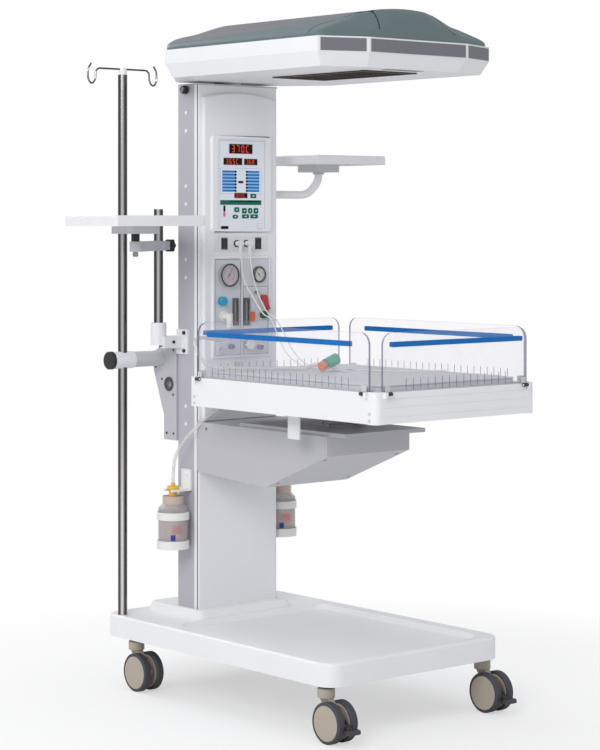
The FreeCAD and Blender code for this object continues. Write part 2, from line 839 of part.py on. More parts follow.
def knob_places():
    spots = [(-70, 1025, 8.0), (72, 1031, 8.0), (72, 985, 8.0), (-41, 903, 6.0), (22, 906, 8.0), (59, 898, 6.0)]
    return [(x, z, d + 0.6) for x, z, d in spots]


def make_gauges():
    face = panel_front()
    cases = []
    lenses = []
    places = (("left", gauge_left_x, gauge_left_diameter, 15.0), ("right", gauge_right_x, gauge_right_diameter, 7.0))
    for side, x, d, depth in places:
        case = rod((x, face - depth, gauge_z), (0, 1, 0), d, depth)
        case = case.fuse(rod((x, face - 0.1, gauge_z), (0, 1, 0), d - 8.4, 26.0))
        case = bevel_edges(case.removeSplitter(), 1.5, edges_at_y(face - depth))
        case = case.cut(rod((x, face - depth - 1, gauge_z), (0, 1, 0), d - 8.0, 1 + min(depth - 1.5, 6.0)))
        floor = face - depth + min(depth - 1.5, 6.0)
        spindle = rod((x, floor + 1, gauge_z), (0, -1, 0), 1.6, 3.6)
        cases.append(join([case, spindle]))
        lenses.append(rod((x, face - depth + 0.3, gauge_z), (0, 1, 0), d - 8.0, 1.2))
        boss = rod((x, floor - 0.4, gauge_z), (0, -1, 0), 6.0, 1.8)
        reach = d / 2.0 - 8.0
        angle = 35 if side == "left" else 140
        blade = prism([
            (x - 1.2, floor - 0.8, gauge_z - 8.0), (x + 1.2, floor - 0.8, gauge_z - 8.0),
            (x + 0.4, floor - 0.8, gauge_z + reach), (x - 0.4, floor - 0.8, gauge_z + reach),
        ], (0, -0.8, 0))
        blade.rotate(Vector(x, 0, gauge_z), Vector(0, 1, 0), angle)
        needle = join([boss, blade])
        needle = needle.cut(rod((x, floor + 1, gauge_z), (0, -1, 0), 1.6 + 2 * running_gap, 6.0))
        export("gauge_needle_" + side, [needle])
    return cases + lenses


def make_flow_meters():
    face = panel_front()
    bodies = []
    tubes = []
    for side, x in (("left", flow_left_x), ("right", flow_right_x)):
        body = box(x - 9.7, x + 9.7, face - 4.0, face + 12.0, flow_bottom + 0.3, flow_top - 0.3)
        body = body.cut(box(x - 6.0, x + 6.0, face - 5.0, face + 8.0, flow_bottom + 8, flow_top - 8))
        bodies.append(body)
        tube = rod((x, face + 1.0, flow_bottom + 8), (0, 0, 1), 9.0, flow_top - flow_bottom - 16)
        tubes.append(tube.cut(rod((x, face + 1.0, flow_bottom + 10), (0, 0, 1), 6.0, flow_top - flow_bottom - 20)))
        float_z = flow_bottom + 10.3
        bead = rod((x, face + 1.0, float_z), (0, 0, 1), 5.4, 4.0)
        tip = cone((x, face + 1.0, float_z + 4.0), (0, 0, 1), 5.4, 2.0, 3.0)
        bodies.append(join([bead, tip]))
    return bodies + tubes


def round_knob(x, z, diameter, height, shaft, flutes):
    face = panel_front()
    start = face - 1.0
    grip = rod((x, start, z), (0, -1, 0), diameter, height)
    grip = bevel_edges(grip, 1.2, edges_at_y(start - height))
    for k in range(flutes):
        a = 2 * math.pi * k / flutes
        r = diameter / 2.0 + 0.6
        grip = grip.cut(rod((x + r * math.cos(a), start - 2, z + r * math.sin(a)), (0, -1, 0), 3.2, height))
    stem = rod((x, start, z), (0, 1, 0), shaft, 12.0)
    return join([grip, stem])


def make_gas_controls():
    export("blender_knob", [round_knob(-70, 1025, 24.0, 14.0, 8.0, 8)])
    export("flow_knob_left", [round_knob(-41, 903, 13.0, 15.0, 6.0, 6)])
    export("flow_knob_right", [round_knob(59, 898, 13.0, 15.0, 6.0, 6)])
    export("suction_knob", [round_knob(22, 906, 27.0, 15.0, 8.0, 8)])
    face = panel_front()
    hub = rod((72, face - 12.0, 1031), (0, 1, 0), 17.0, 11.0)
    blade = prism([(66, face - 12.0, 1031), (78, face - 12.0, 1031), (90, face - 12.0, 1001), (80, face - 12.0, 997)],
                  (0, 6.0, 0))
    stem = rod((72, face - 1.5, 1031), (0, 1, 0), 8.0, 13.0)
    export("suction_lever", [join([hub, blade, stem])])

    flange = rod((-62, face - 4.0, 984), (0, 1, 0), 30.0, 4.0)
    neck = rod((-62, face - 26.0, 984), (0, 1, 0), 17.0, 22.2)
    drop = rod((-62, face - 26.0, 984 + 8.0), (0, 0, -1), 17.0, 36.0)
    elbow = join([flange, neck, drop]).cut(rod((-62, face - 26.0, 984 - 4), (0, 0, -1), 10.2, 40.0))
    port = rod((-75, face - 7.0, 897), (0, 1, 0), 21.0, 7.0)
    port = port.cut(rod((-75, face - 8.0, 897), (0, 1, 0), 12.0, 6.0))
    spigot = rod((48, face - 11.0, 1046), (0, 1, 0), 9.0, 11.0)
    nipple_block = box(-40.0, -20.0, -36.0, -fascia_depth, 845.0, 862.0)
    nipple = rod((suction_outlet_x, suction_outlet_y, 846.0), (0, 0, -1), 6.0, 16.0)
    outlet = join([nipple_block, nipple])
    manifold = box(-80, 80, panel_front() + 26.0, 36.0, 900, 1120)
    relief = round_knob(72, 985, 20.0, 12.0, 8.0, 6)
    export("gas_fittings", [elbow, port, spigot, outlet, manifold, relief] + make_gauges() + make_flow_meters())


# Hood

def octagon(z, inset, front_inset=0.0):
    w = hood_half_width - inset
    f = hood_front_half - 0.6 * inset
    r = hood_rear_half - 0.6 * inset
    yf = hood_front_y + inset + front_inset
    ys = hood_front_side_y + 0.6 * inset + front_inset
    yb = hood_rear_side_y - 0.6 * inset
    yr = hood_rear_y - inset
    return [(-f, yf, z), (f, yf, z), (w, ys, z), (w, yb, z), (r, yr, z), (-r, yr, z), (-w, yb, z), (-w, ys, z)]


def stack(sections):
    wires = [wire_of(points) for points in sections]
    return Part.makeLoft(wires, True, True)


def hood_body(inset, z_shift):
    lower = stack([octagon(hood_bottom + z_shift, hood_taper + inset), octagon(hood_band_bottom, inset)])
    upper = stack([octagon(hood_band_bottom, inset), octagon(hood_rim, inset)])
    return lower.fuse(upper).removeSplitter()


def make_hood_shell():
    shell = hood_body(0.0, 0.0).cut(hood_body(hood_wall, hood_wall))
    inner = stack([octagon(hood_rim - 6.0, hood_wall), octagon(hood_rim + 1.0, hood_wall)])
    shell = shell.cut(inner)
    flange_hole = rod((0, swivel_y, hood_bottom - 1), (0, 0, 1), bearing_diameter + 6.0, 8.0)
    shell = shell.cut(flange_hole)
    half = heater_length / 2.0
    shell = shell.cut(box(-heater_half_width, heater_half_width, heater_y - half, heater_y + half,
                          hood_bottom - 1, hood_bottom + 8))
    shell = shell.cut(rounded_block(-lamp_half_width, lamp_half_width, lamp_y - 16, lamp_y + 16,
                                    hood_bottom - 1, hood_bottom + 8, 8.0))
    export("hood_shell", [shell] + hood_trim())


def make_hood_dome():
    rim = hood_rim + 0.2
    height = hood_top - rim
    levels = ((0.0, 3.0, 0.0), (0.34, 7.0, 4.0), (0.62, 22.0, 14.0), (0.84, 60.0, 34.0), (0.95, 110.0, 60.0),
              (1.0, 150.0, 90.0))
    outer = [octagon(rim + height * h, inset, front) for h, inset, front in levels]
    t = hood_wall
    inner = [octagon(rim - 1.0 + (height - t + 1.0) * h, inset + t, front) for h, inset, front in levels]
    dome = stack(outer).cut(stack(inner))
    export("hood_dome", [dome])


def facet_panel(a, b, margin_ends, z0, z1, thickness):
    ax, ay = a
    bx, by = b
    length = math.hypot(bx - ax, by - ay)
    ux, uy = (bx - ax) / length, (by - ay) / length
    nx, ny = uy, -ux
    p0 = (ax + ux * margin_ends + nx * 0.0, ay + uy * margin_ends, z0)
    p1 = (bx - ux * margin_ends, by - uy * margin_ends, z0)
    p2 = (p1[0] + nx * thickness, p1[1] + ny * thickness, z0)
    p3 = (p0[0] + nx * thickness, p0[1] + ny * thickness, z0)
    return prism([p0, p1, p2, p3], (0, 0, z1 - z0))


def hood_trim():
    points = [(p[0], p[1]) for p in octagon(hood_rim, 0.0)]
    z0 = hood_band_bottom + 1.0
    z1 = hood_rim - 4.0
    left = facet_panel(points[7], points[0], 7.0, z0, z1, 1.6)
    front = facet_panel(points[0], points[1], 7.0, z0, z1, 1.6)
    right = facet_panel(points[1], points[2], 7.0, z0, z1, 1.6)
    return [left, front, right]


def make_hood_carrier():
    z = column_top + 4.0 + bearing_height + 0.2
    floor = hood_bottom + hood_wall
    flange = rod((0, swivel_y, z), (0, 0, 1), bearing_diameter, floor + seat_gap - z + 1)
    plate = rounded_block(-120, 120, -250, swivel_y + 42, floor + seat_gap, floor + seat_gap + 5, 12.0)
    spindle = rod((0, swivel_y, z + 1), (0, 0, -1), spindle_diameter, spindle_length)
    spindle_bore = rod((0, swivel_y, z + 20), (0, 0, -1), spindle_diameter - 10.0, spindle_length + 30)
    carrier = join([flange, plate, spindle]).cut(spindle_bore)
    export("hood_carrier", [carrier])


def make_heater():
    half = heater_length / 2.0
    y0 = heater_y - half + 1.0
    z0 = hood_bottom + hood_wall + seat_gap
    w = heater_half_width + 8.0
    top = hood_rim - 12.0
    outline = [(-w, z0), (-w, z0 + 2), (-w + 10, z0 + 2), (-30, top), (30, top), (w - 10, z0 + 2), (w, z0 + 2), (w, z0),
               (w - 11, z0), (28, top - 2), (-28, top - 2), (-w + 11, z0)]
    trough = prism([(x, y0 - 4, z) for x, z in outline], (0, heater_length + 6, 0))
    t0 = prism([(-w + 11, y0 - 4, z0), (w - 11, y0 - 4, z0), (28, y0 - 4, top - 2), (-28, y0 - 4, top - 2)], (0, 2, 0))
    t1 = moved(t0, 0, heater_length + 4, 0)
    reflector = join([trough, t0, t1])

    inner = heater_length + 2.0
    quartz = rod((0, y0 - 1.6, heater_rod_z), (0, 1, 0), heater_rod_diameter, inner - 0.8)
    caps = []
    for y in (y0 - 1.6, y0 + inner - 20.4):
        caps.append(rod((0, y, heater_rod_z), (0, 1, 0), heater_rod_diameter + 8.0, 18.0))
    quartz = quartz.cut(caps[0]).cut(caps[1])

    wires = []
    d = guard_wire_diameter
    z = hood_bottom - 1.0
    frame = box(-heater_half_width - 7, heater_half_width + 7, heater_y - half - 7, heater_y + half + 7, z - 2, z + 1)
    frame = frame.cut(box(-heater_half_width + 3, heater_half_width - 3, heater_y - half + 3, heater_y + half - 3,
                          z - 3, z + 3))
    wires.append(frame)
    count = int(heater_length / guard_pitch)
    for k in range(1, count):
        y = heater_y - half + k * heater_length / count
        wires.append(box(-heater_half_width, heater_half_width, y - d / 2, y + d / 2, z - d / 2, z + d / 2))
    for x in (-30.0, 30.0):
        wires.append(box(x - d / 2, x + d / 2, heater_y - half, heater_y + half, z - d / 2, z + d / 2))
    guard = join(wires)

    lens = rounded_block(-lamp_half_width - 6, lamp_half_width + 6, lamp_y - 22, lamp_y + 22,
                         hood_bottom + hood_wall, hood_bottom + hood_wall + 3, 10.0)
    drop = rounded_block(-lamp_half_width + 0.3, lamp_half_width - 0.3, lamp_y - 15.7, lamp_y + 15.7,
                         hood_bottom - 0.5, hood_bottom + hood_wall + 1, 7.7)
    export("heater_unit", [reflector, quartz] + caps + [guard, join([lens, drop])])


# Bed

def make_bed_rails():
    t = rail_wall
    x1 = bed_half_width
    rails = []
    y0 = bed_front_y + corner_size
    y1 = bed_rear_y - corner_size
    x0 = x1 - rail_thickness
    side = box(x0, x1, y0, y1, rail_bottom, rail_top)
    side = side.cut(box(x0 + t, x1 - t, y0 - 1, y1 + 1, rail_bottom + t, rail_top - t))
    rails.extend([side, mirrored(side)])
    across = x1 - corner_size
    front = box(-across, across, bed_front_y, bed_front_y + rail_thickness, rail_bottom, rail_top)
    front = front.cut(box(-across - 1, across + 1, bed_front_y + t + 0.5, bed_front_y + rail_thickness - t,
                          rail_bottom + t, rail_top - t))
    for z in (rail_bottom + 16.0, rail_bottom + 38.0, rail_bottom + 58.0):
        front = front.cut(box(-across - 1, across + 1, bed_front_y - 1, bed_front_y + 0.8, z - 0.8, z + 0.8))
    rear = box(-across, across, bed_rear_y - rail_thickness, bed_rear_y, rail_bottom, rail_top)
    rear = rear.cut(box(-across - 1, across + 1, bed_rear_y - rail_thickness + t, bed_rear_y - t,
                        rail_bottom + t, rail_top - t))
    rails.extend([front, rear])

    corners = []
    caps = []
    z0 = rail_bottom - 1.0
    z1 = rail_top + 1.5
    for sx in (-1, 1):
        for y_out, sy in ((bed_front_y, 1), (bed_rear_y, -1)):
            xa, xb = sorted((sx * x1, sx * (x1 - corner_size + 0.1)))
            ya, yb = sorted((y_out, y_out + sy * (corner_size - 0.1)))
            post = box(xa, xb, ya, yb, z0, z1)
            post = round_edges(post, corner_radius, lambda e: abs(e.BoundBox.XMax - sx * x1) < 0.01
                               and abs(e.BoundBox.XMin - sx * x1) < 0.01
                               and abs(e.BoundBox.YMin - y_out) < 0.01 and abs(e.BoundBox.YMax - y_out) < 0.01)
            corners.append(post)
            for z in (rail_bottom + 8.0, rail_bottom + 24.0):
                caps.append(rod((sx * x1, y_out + sy * 23.0, z), (sx, 0, 0), 9.0, 1.0))
    export("bed_rails", rails + corners + caps + wall_brackets())


def make_bed_deck():
    inner = bed_half_width - rail_thickness
    y0 = bed_front_y + rail_thickness
    y1 = bed_rear_y - rail_thickness
    deck = box(-inner, inner, y0, y1, deck_top - deck_thickness, deck_top)
    wall = 3.0
    for x in (-inner, inner - wall):
        deck = deck.fuse(box(x, x + wall, y0, y1, pan_bottom + 4.0, deck_top - deck_thickness))
    for y in (y0, y1 - wall):
        deck = deck.fuse(box(-inner, inner, y, y + wall, pan_bottom + 4.0, deck_top - deck_thickness))
    beam = 30.0
    for x in (-150.0, 150.0 - beam):
        deck = deck.fuse(box(x, x + beam, y0, y1, pan_bottom, deck_top - deck_thickness))
    for y in (pivot_y - 70.0, pivot_y + 40.0):
        deck = deck.fuse(box(-inner, inner, y, y + beam, pan_bottom + 4.0, deck_top - deck_thickness))
    lug_half = yoke_half_gap - lug_clearance
    lug = box(-lug_half, lug_half, pivot_y - yoke_radius - 4, pivot_y + yoke_radius + 4, pivot_z, deck_top - deck_thickness)
    eye = rod((-lug_half, pivot_y, pivot_z), (1, 0, 0), 2 * yoke_radius, 2 * lug_half)
    deck = join([deck, lug, eye])
    deck = deck.cut(rod((-lug_half - 1, pivot_y, pivot_z), (1, 0, 0), pivot_pin_diameter + 2 * running_gap,
                        2 * lug_half + 2))
    notch = corner_size + 0.3
    for sx in (-1, 1):
        xa, xb = sorted((sx * bed_half_width, sx * (bed_half_width - notch)))
        deck = deck.cut(box(xa, xb, bed_front_y, bed_front_y + notch, pan_bottom, deck_top + 1))
        deck = deck.cut(box(xa, xb, bed_rear_y - notch, bed_rear_y, pan_bottom, deck_top + 1))
    ear_x = lever_x
    ears = []
    for y in (lever_y - lever_width / 2.0 - 6.0, lever_y + lever_width / 2.0 + 0.3):
        ears.append(box(ear_x - 6, ear_x + 6, y, y + 5.7, pan_bottom - 8.0, deck_top - deck_thickness))
    pin = rod((ear_x, lever_y - lever_width / 2.0 - 6.0, pan_bottom - 2.0), (0, 1, 0), 5.0, lever_width + 12.0)
    export("bed_deck", [join([deck] + ears + [pin])])


def make_tilt_lever():
    z = pan_bottom - 2.0
    half = lever_width / 2.0
    plate = box(lever_x - 2.0, lever_x + 2.0, lever_y - half, lever_y + half, z - lever_drop, z)
    eye = rod((lever_x, lever_y - half, z), (0, 1, 0), 11.0, lever_width)
    lever = join([plate, eye]).cut(rod((lever_x, lever_y - half - 1, z), (0, 1, 0), 5.0 + 2 * running_gap,
                                       lever_width + 2))
    export("tilt_release_lever", [lever])


def make_mattress():
    g = mattress_gap
    inner = bed_half_width - rail_thickness - g
    pad = rounded_block(-inner, inner, bed_front_y + rail_thickness + g, bed_rear_y - rail_thickness - g,
                        deck_top + 0.3, mattress_top, 22.0)
    export("mattress", [bevel_edges(pad, 8.0, level_edges_at(mattress_top))])


def wall_plate(length):
    half = length / 2.0
    flat = rounded_block(-half, half, wall_bottom - 60.0, wall_top, 0, wall_thickness, wall_corner_radius)
    flat.rotate(Vector(0, 0, 0), Vector(1, 0, 0), 90)
    return flat.cut(box(-half - 1, half + 1, -100, 100, wall_bottom - 200, wall_bottom))


def hinge_axis_offset():
    return knuckle_diameter / 2.0 + 0.3


def wall_clamp(half, sign):
    # Local frame: the wall runs along X and its outer face is at Y = 0, outwards is -Y.
    inset = wall_inset
    axis_y = -inset - hinge_axis_offset()
    x0 = sign * (half - 20.0)
    x1 = sign * (half - 20.0 + knuckle_length)
    xa, xb = sorted((x0, x1))
    knuckle = rod((xa, axis_y, hinge_z), (1, 0, 0), knuckle_diameter, xb - xa)
    leaf = box(xa, xb, axis_y, 0, rail_top + 0.6, wall_bottom - 0.2)
    outer = box(xa, xb, -2.4, -0.05, rail_top + 0.6, wall_bottom + 13.0)
    under = box(xa, xb, -2.4, wall_thickness + 2.4, rail_top + 0.6, wall_bottom - 0.05)
    inner = box(xa, xb, wall_thickness + 0.05, wall_thickness + 2.4, rail_top + 0.6, wall_bottom + 13.0)
    clamp = join([knuckle, leaf, outer, under, inner])
    bore = rod((xa - 1, axis_y, hinge_z), (1, 0, 0), hinge_pin_diameter + 2 * running_gap, xb - xa + 2)
    return clamp.cut(bore)


def wall_bracket(half, sign):
    inset = wall_inset
    axis_y = -inset - hinge_axis_offset()
    x0 = sign * (half - 20.0 + knuckle_length + 0.3)
    x1 = x0 + sign * 8.0
    xa, xb = sorted((x0, x1))
    block = box(xa, xb, axis_y - 4.0, -inset, hinge_z - 10.0, hinge_z + 4.5)
    pin_start = x1 - sign * 1.0
    pin = rod((pin_start, axis_y, hinge_z), (-sign, 0, 0), hinge_pin_diameter, 8.0 + knuckle_length)
    return join([block, pin])


def place_side(shape, side):
    # Side walls: local X becomes world Y; the outer face looks away from the bed's middle.
    copy = shape.copy()
    if side == "left":
        copy.rotate(Vector(0, 0, 0), Vector(0, 0, 1), -90)
        copy.translate(Vector(-bed_half_width + wall_inset, side_wall_middle(), 0))
    elif side == "right":
        copy.rotate(Vector(0, 0, 0), Vector(0, 0, 1), 90)
        copy.translate(Vector(bed_half_width - wall_inset, side_wall_middle(), 0))
    elif side == "front":
        copy.translate(Vector(0, bed_front_y + wall_inset, 0))
    else:
        copy.rotate(Vector(0, 0, 0), Vector(0, 0, 1), 180)
        copy.translate(Vector(0, bed_rear_y - wall_inset, 0))
    return copy


def side_wall_middle():
    return (bed_front_y + bed_rear_y) / 2.0


def wall_length(side):
    if side in ("left", "right"):
        return bed_rear_y - bed_front_y - 2 * side_wall_end_gap
    return 2 * bed_half_width - 2 * end_wall_end_gap


def wall_brackets():
    brackets = []
    for side in ("left", "right", "front", "rear"):
        half = wall_length(side) / 2.0
        brackets.extend([place_side(wall_bracket(half, s), side) for s in (1, -1)])
    return brackets


def make_walls():
    for side in ("left", "right", "front", "rear"):
        length = wall_length(side)
        plate = wall_plate(length)
        plate.translate(Vector(0, wall_thickness, 0))
        half = length / 2.0
        pieces = [plate, wall_clamp(half, 1), wall_clamp(half, -1)]
        export("wall_" + side, [place_side(p, side) for p in pieces])


def make_tilt_support():
    w = housing_half_width
    profile = [(0, housing_top), (housing_front_y, housing_top), (housing_front_y, housing_front_bottom),
               (housing_knee_y, housing_knee_z), (0, housing_rear_bottom)]
    outer = prism([(-w, y, z) for y, z in profile], (2 * w, 0, 0))
    t = housing_wall
    inside = [(-1.0, housing_top - t), (housing_front_y + t, housing_top - t),
              (housing_front_y + t, housing_front_bottom + 1.6), (housing_knee_y - 0.6, housing_knee_z + t + 0.3),
              (-1.0, housing_rear_bottom + t)]
    inner = prism([(-w + t, y - 0.5, z) for y, z in inside], (2 * w - 2 * t, 0, 0))
    export("drive_housing", [outer.cut(inner)])

    screws = []
    for y, z in ((-40.0, 690.0), (-506.0, 640.0), (-300.0, 566.0), (-60.0, 590.0)):
        for s in (-1, 1):
            if z > 600.0 and y > -100.0:
                screws.append(rod((s * w, y, z), (s, 0, 0), 8.0, 1.6))
    for x in (-120.0, 120.0):
        for frac in (0.12, 0.88):
            y = housing_front_y + frac * (housing_knee_y - housing_front_y)
            z = housing_front_bottom + frac * (housing_knee_z - housing_front_bottom)
            slope = Vector(0, housing_knee_z - housing_front_bottom, -(housing_knee_y - housing_front_y))
            slope.normalize()
            screws.append(rod((x, y, z), (slope.x, slope.y, slope.z), 9.0, 1.8))

    top = housing_top + support_thickness
    plate = box(-support_half_width, support_half_width, support_front_y, support_rear_y, housing_top, top)
    yokes = []
    for s in (-1, 1):
        xa, xb = sorted((s * yoke_half_gap, s * (yoke_half_gap + yoke_thickness)))
        cheek = box(xa, xb, pivot_y - yoke_radius, pivot_y + yoke_radius, top - 1, pivot_z)
        eye = rod((xa, pivot_y, pivot_z), (1, 0, 0), 2 * yoke_radius, yoke_thickness)
        yokes.extend([cheek, eye])
    pin_half = yoke_half_gap + yoke_thickness + 4.0
    pin = rod((-pin_half, pivot_y, pivot_z), (1, 0, 0), pivot_pin_diameter, 2 * pin_half)
    support = join([plate] + yokes + [pin])
    motor = rod((-40.0, -140.0, 640.0), (0, -1, 0), 60.0, 120.0)
    gear = box(-70.0, 20.0, -300.0, -260.0, 600.0, 690.0)
    mount = box(-72.0, -8.0, -262.0, -138.0, 670.0, housing_top - housing_wall)
    export("tilt_support", [support, join([motor, gear, mount])])
    return screws


# Rear housing, push handle and pole

def make_rear_housing():
    w = rear_housing_half_width
    back = column_depth + 0.2
    profile = [(back, 908.0), (134.0, 908.0), (164.0, 896.0), (190.0, 884.0), (188.0, 836.0),
               (160.0, 764.0), (141.0, 716.0), (141.0, 650.0), (back, 650.0)]
    face = Part.Face(wire_of([(-w, y, z) for y, z in profile]))
    outer = face.extrude(Vector(2 * w, 0, 0))
    t = rear_housing_wall
    inner_face = face.makeOffset2D(-t)
    inner_face.translate(Vector(t, 0, 0))
    inner = inner_face.extrude(Vector(2 * w - 2 * t, 0, 0))
    shell = outer.cut(inner)
    shell = shell.cut(rod((-w - 1, handle_y, handle_z), (1, 0, 0), handle_diameter, 6.0))
    shell = shell.cut(rod((-w - 1, 118.0, 800.0), (1, 0, 0), 32.0, 6.0))

    ring = rod((-w - 2.5, 118.0, 800.0), (1, 0, 0), 38.0, 2.5)
    cup = rod((-w - 0.01, 118.0, 800.0), (1, 0, 0), 31.8, 16.0)
    port = join([ring, cup]).cut(rod((-w - 3, 118.0, 800.0), (1, 0, 0), 26.0, 14.0))
    for y, z in ((110.0, 806.0), (126.0, 806.0), (118.0, 792.0)):
        port = join([port, rod((-w + 11.6, y, z), (-1, 0, 0), 4.0, 9.0)])
    export("rear_housing", [shell, port])
    screws = []
    for y, z in ((178.0, 843.0), (98.0, 892.0), (150.0, 812.0), (100.0, 772.0), (98.0, 668.0), (128.0, 668.0)):
        screws.append(rod((-w, y, z), (-1, 0, 0), 6.0, 1.4))
        screws.append(rod((w, y, z), (1, 0, 0), 6.0, 1.4))
    return screws


def make_handle():
    end = -rear_housing_half_width + 60.0
    tube = rod((handle_end_x, handle_y, handle_z), (1, 0, 0), handle_diameter, end - handle_end_x)
    tube = tube.cut(rod((handle_end_x - 1, handle_y, handle_z), (1, 0, 0), handle_diameter - 5.0,
                        end - handle_end_x + 2))
    hole = rod((pole_x, handle_y, handle_z - 60), (0, 0, 1), pole_diameter, 120.0)
    tube = tube.cut(hole)
    sleeve = rod((handle_end_x, handle_y, handle_z), (1, 0, 0), sleeve_diameter, sleeve_end_x - handle_end_x)
    sleeve = sleeve.cut(rod((handle_end_x - 1, handle_y, handle_z), (1, 0, 0), handle_diameter,
                            sleeve_end_x - handle_end_x + 2))
    sleeve = sleeve.cut(hole)
    cap = rod((handle_end_x, handle_y, handle_z), (-1, 0, 0), cap_diameter, 12.0)
    cap = round_edges(cap, 3.0, lambda e: abs(e.BoundBox.XMax - handle_end_x + 12.0) < 0.01
                      and e.BoundBox.XLength < 0.01)
    plug = rod((handle_end_x, handle_y, handle_z), (1, 0, 0), handle_diameter - 5.0, 12.0)
    cap = join([cap, plug])
    clamp_back = column_depth + 0.2 + rear_housing_wall
    clamp = box(end - 30.0, end + 6.0, clamp_back, handle_y, handle_z - 14.0, handle_z + 14.0)
    clamp = join([clamp, rod((end - 30.0, handle_y, handle_z), (1, 0, 0), handle_diameter + 10.0, 36.0)])
    clamp = clamp.cut(rod((end - 31.0, handle_y, handle_z), (1, 0, 0), handle_diameter, 31.0))
    export("push_handle", [tube, sleeve, cap, clamp])


def make_pole():
    z0 = frame_top()
    pole = rod((pole_x, handle_y, z0), (0, 0, 1), pole_diameter, pole_top - z0)
    pole = pole.cut(rod((pole_x, handle_y, z0 - 1), (0, 0, 1), pole_diameter - 2 * pole_wall, pole_top - z0 + 2))
    insert = rod((pole_x, handle_y, pole_top - 40.0), (0, 0, 1), pole_diameter - 2 * pole_wall, 40.0)
    pin = rod((pole_x, handle_y, pole_top - 1), (0, 0, 1), 10.0, 13.0)
    pole = join([pole, insert, pin])
    export("infusion_pole", [pole])

    collar = rod((pole_x, handle_y, pole_top + seat_gap), (0, 0, 1), 22.0, 18.0)
    collar = bevel_edges(collar, 2.0, level_edges_at(pole_top + seat_gap + 18.0))
    collar = collar.cut(rod((pole_x, handle_y, pole_top - 1), (0, 0, 1), 10.0 + 2 * running_gap, 14.0))
    z = pole_top + 15.0
    half = hook_span / 2.0
    for s in (-1, 1):
        x_end = pole_x + s * half
        points = [
            (pole_x + s * 8.0, handle_y, z),
            (x_end, handle_y, z),
            (x_end + s * 1.0, handle_y, z - 30.0),
            (x_end + s * 13.0, handle_y, z - 44.0),
            (x_end + s * 25.0, handle_y, z - 30.0),
            (x_end + s * 25.0, handle_y, z - 2.0),
            (x_end + s * 15.0, handle_y, z + 12.0),
        ]
        collar = join([collar, tube_route(points, hook_wire_diameter)])
    export("infusion_hooks", [collar])


# Side shelves

def shelf_top(x, y, width, length, top, thickness, base_plate):
    x0, x1 = x - width / 2.0, x + width / 2.0
    y0, y1 = y - length / 2.0, y + length / 2.0
    slab = rounded_block(x0, x1, y0, y1, top - thickness, top, 10.0)
    slab = bevel_edges(slab, 2.0, level_edges_at(top))
    lip = 9.0
    recess = rounded_block(x0 + lip, x1 - lip, y0 + lip, y1 - lip, top - shelf_lip, top + 1.0, 6.0)
    under = rounded_block(x0 + 4, x1 - 4, y0 + 4, y1 - 4, top - thickness - 1, top - shelf_lip - 4.0, 7.0)
    half = base_plate / 2.0
    keep = box(x - half - 6, x + half + 6, y - half - 6, y + half + 6, top - thickness - 2, top)
    return slab.cut(recess).cut(under.cut(keep))


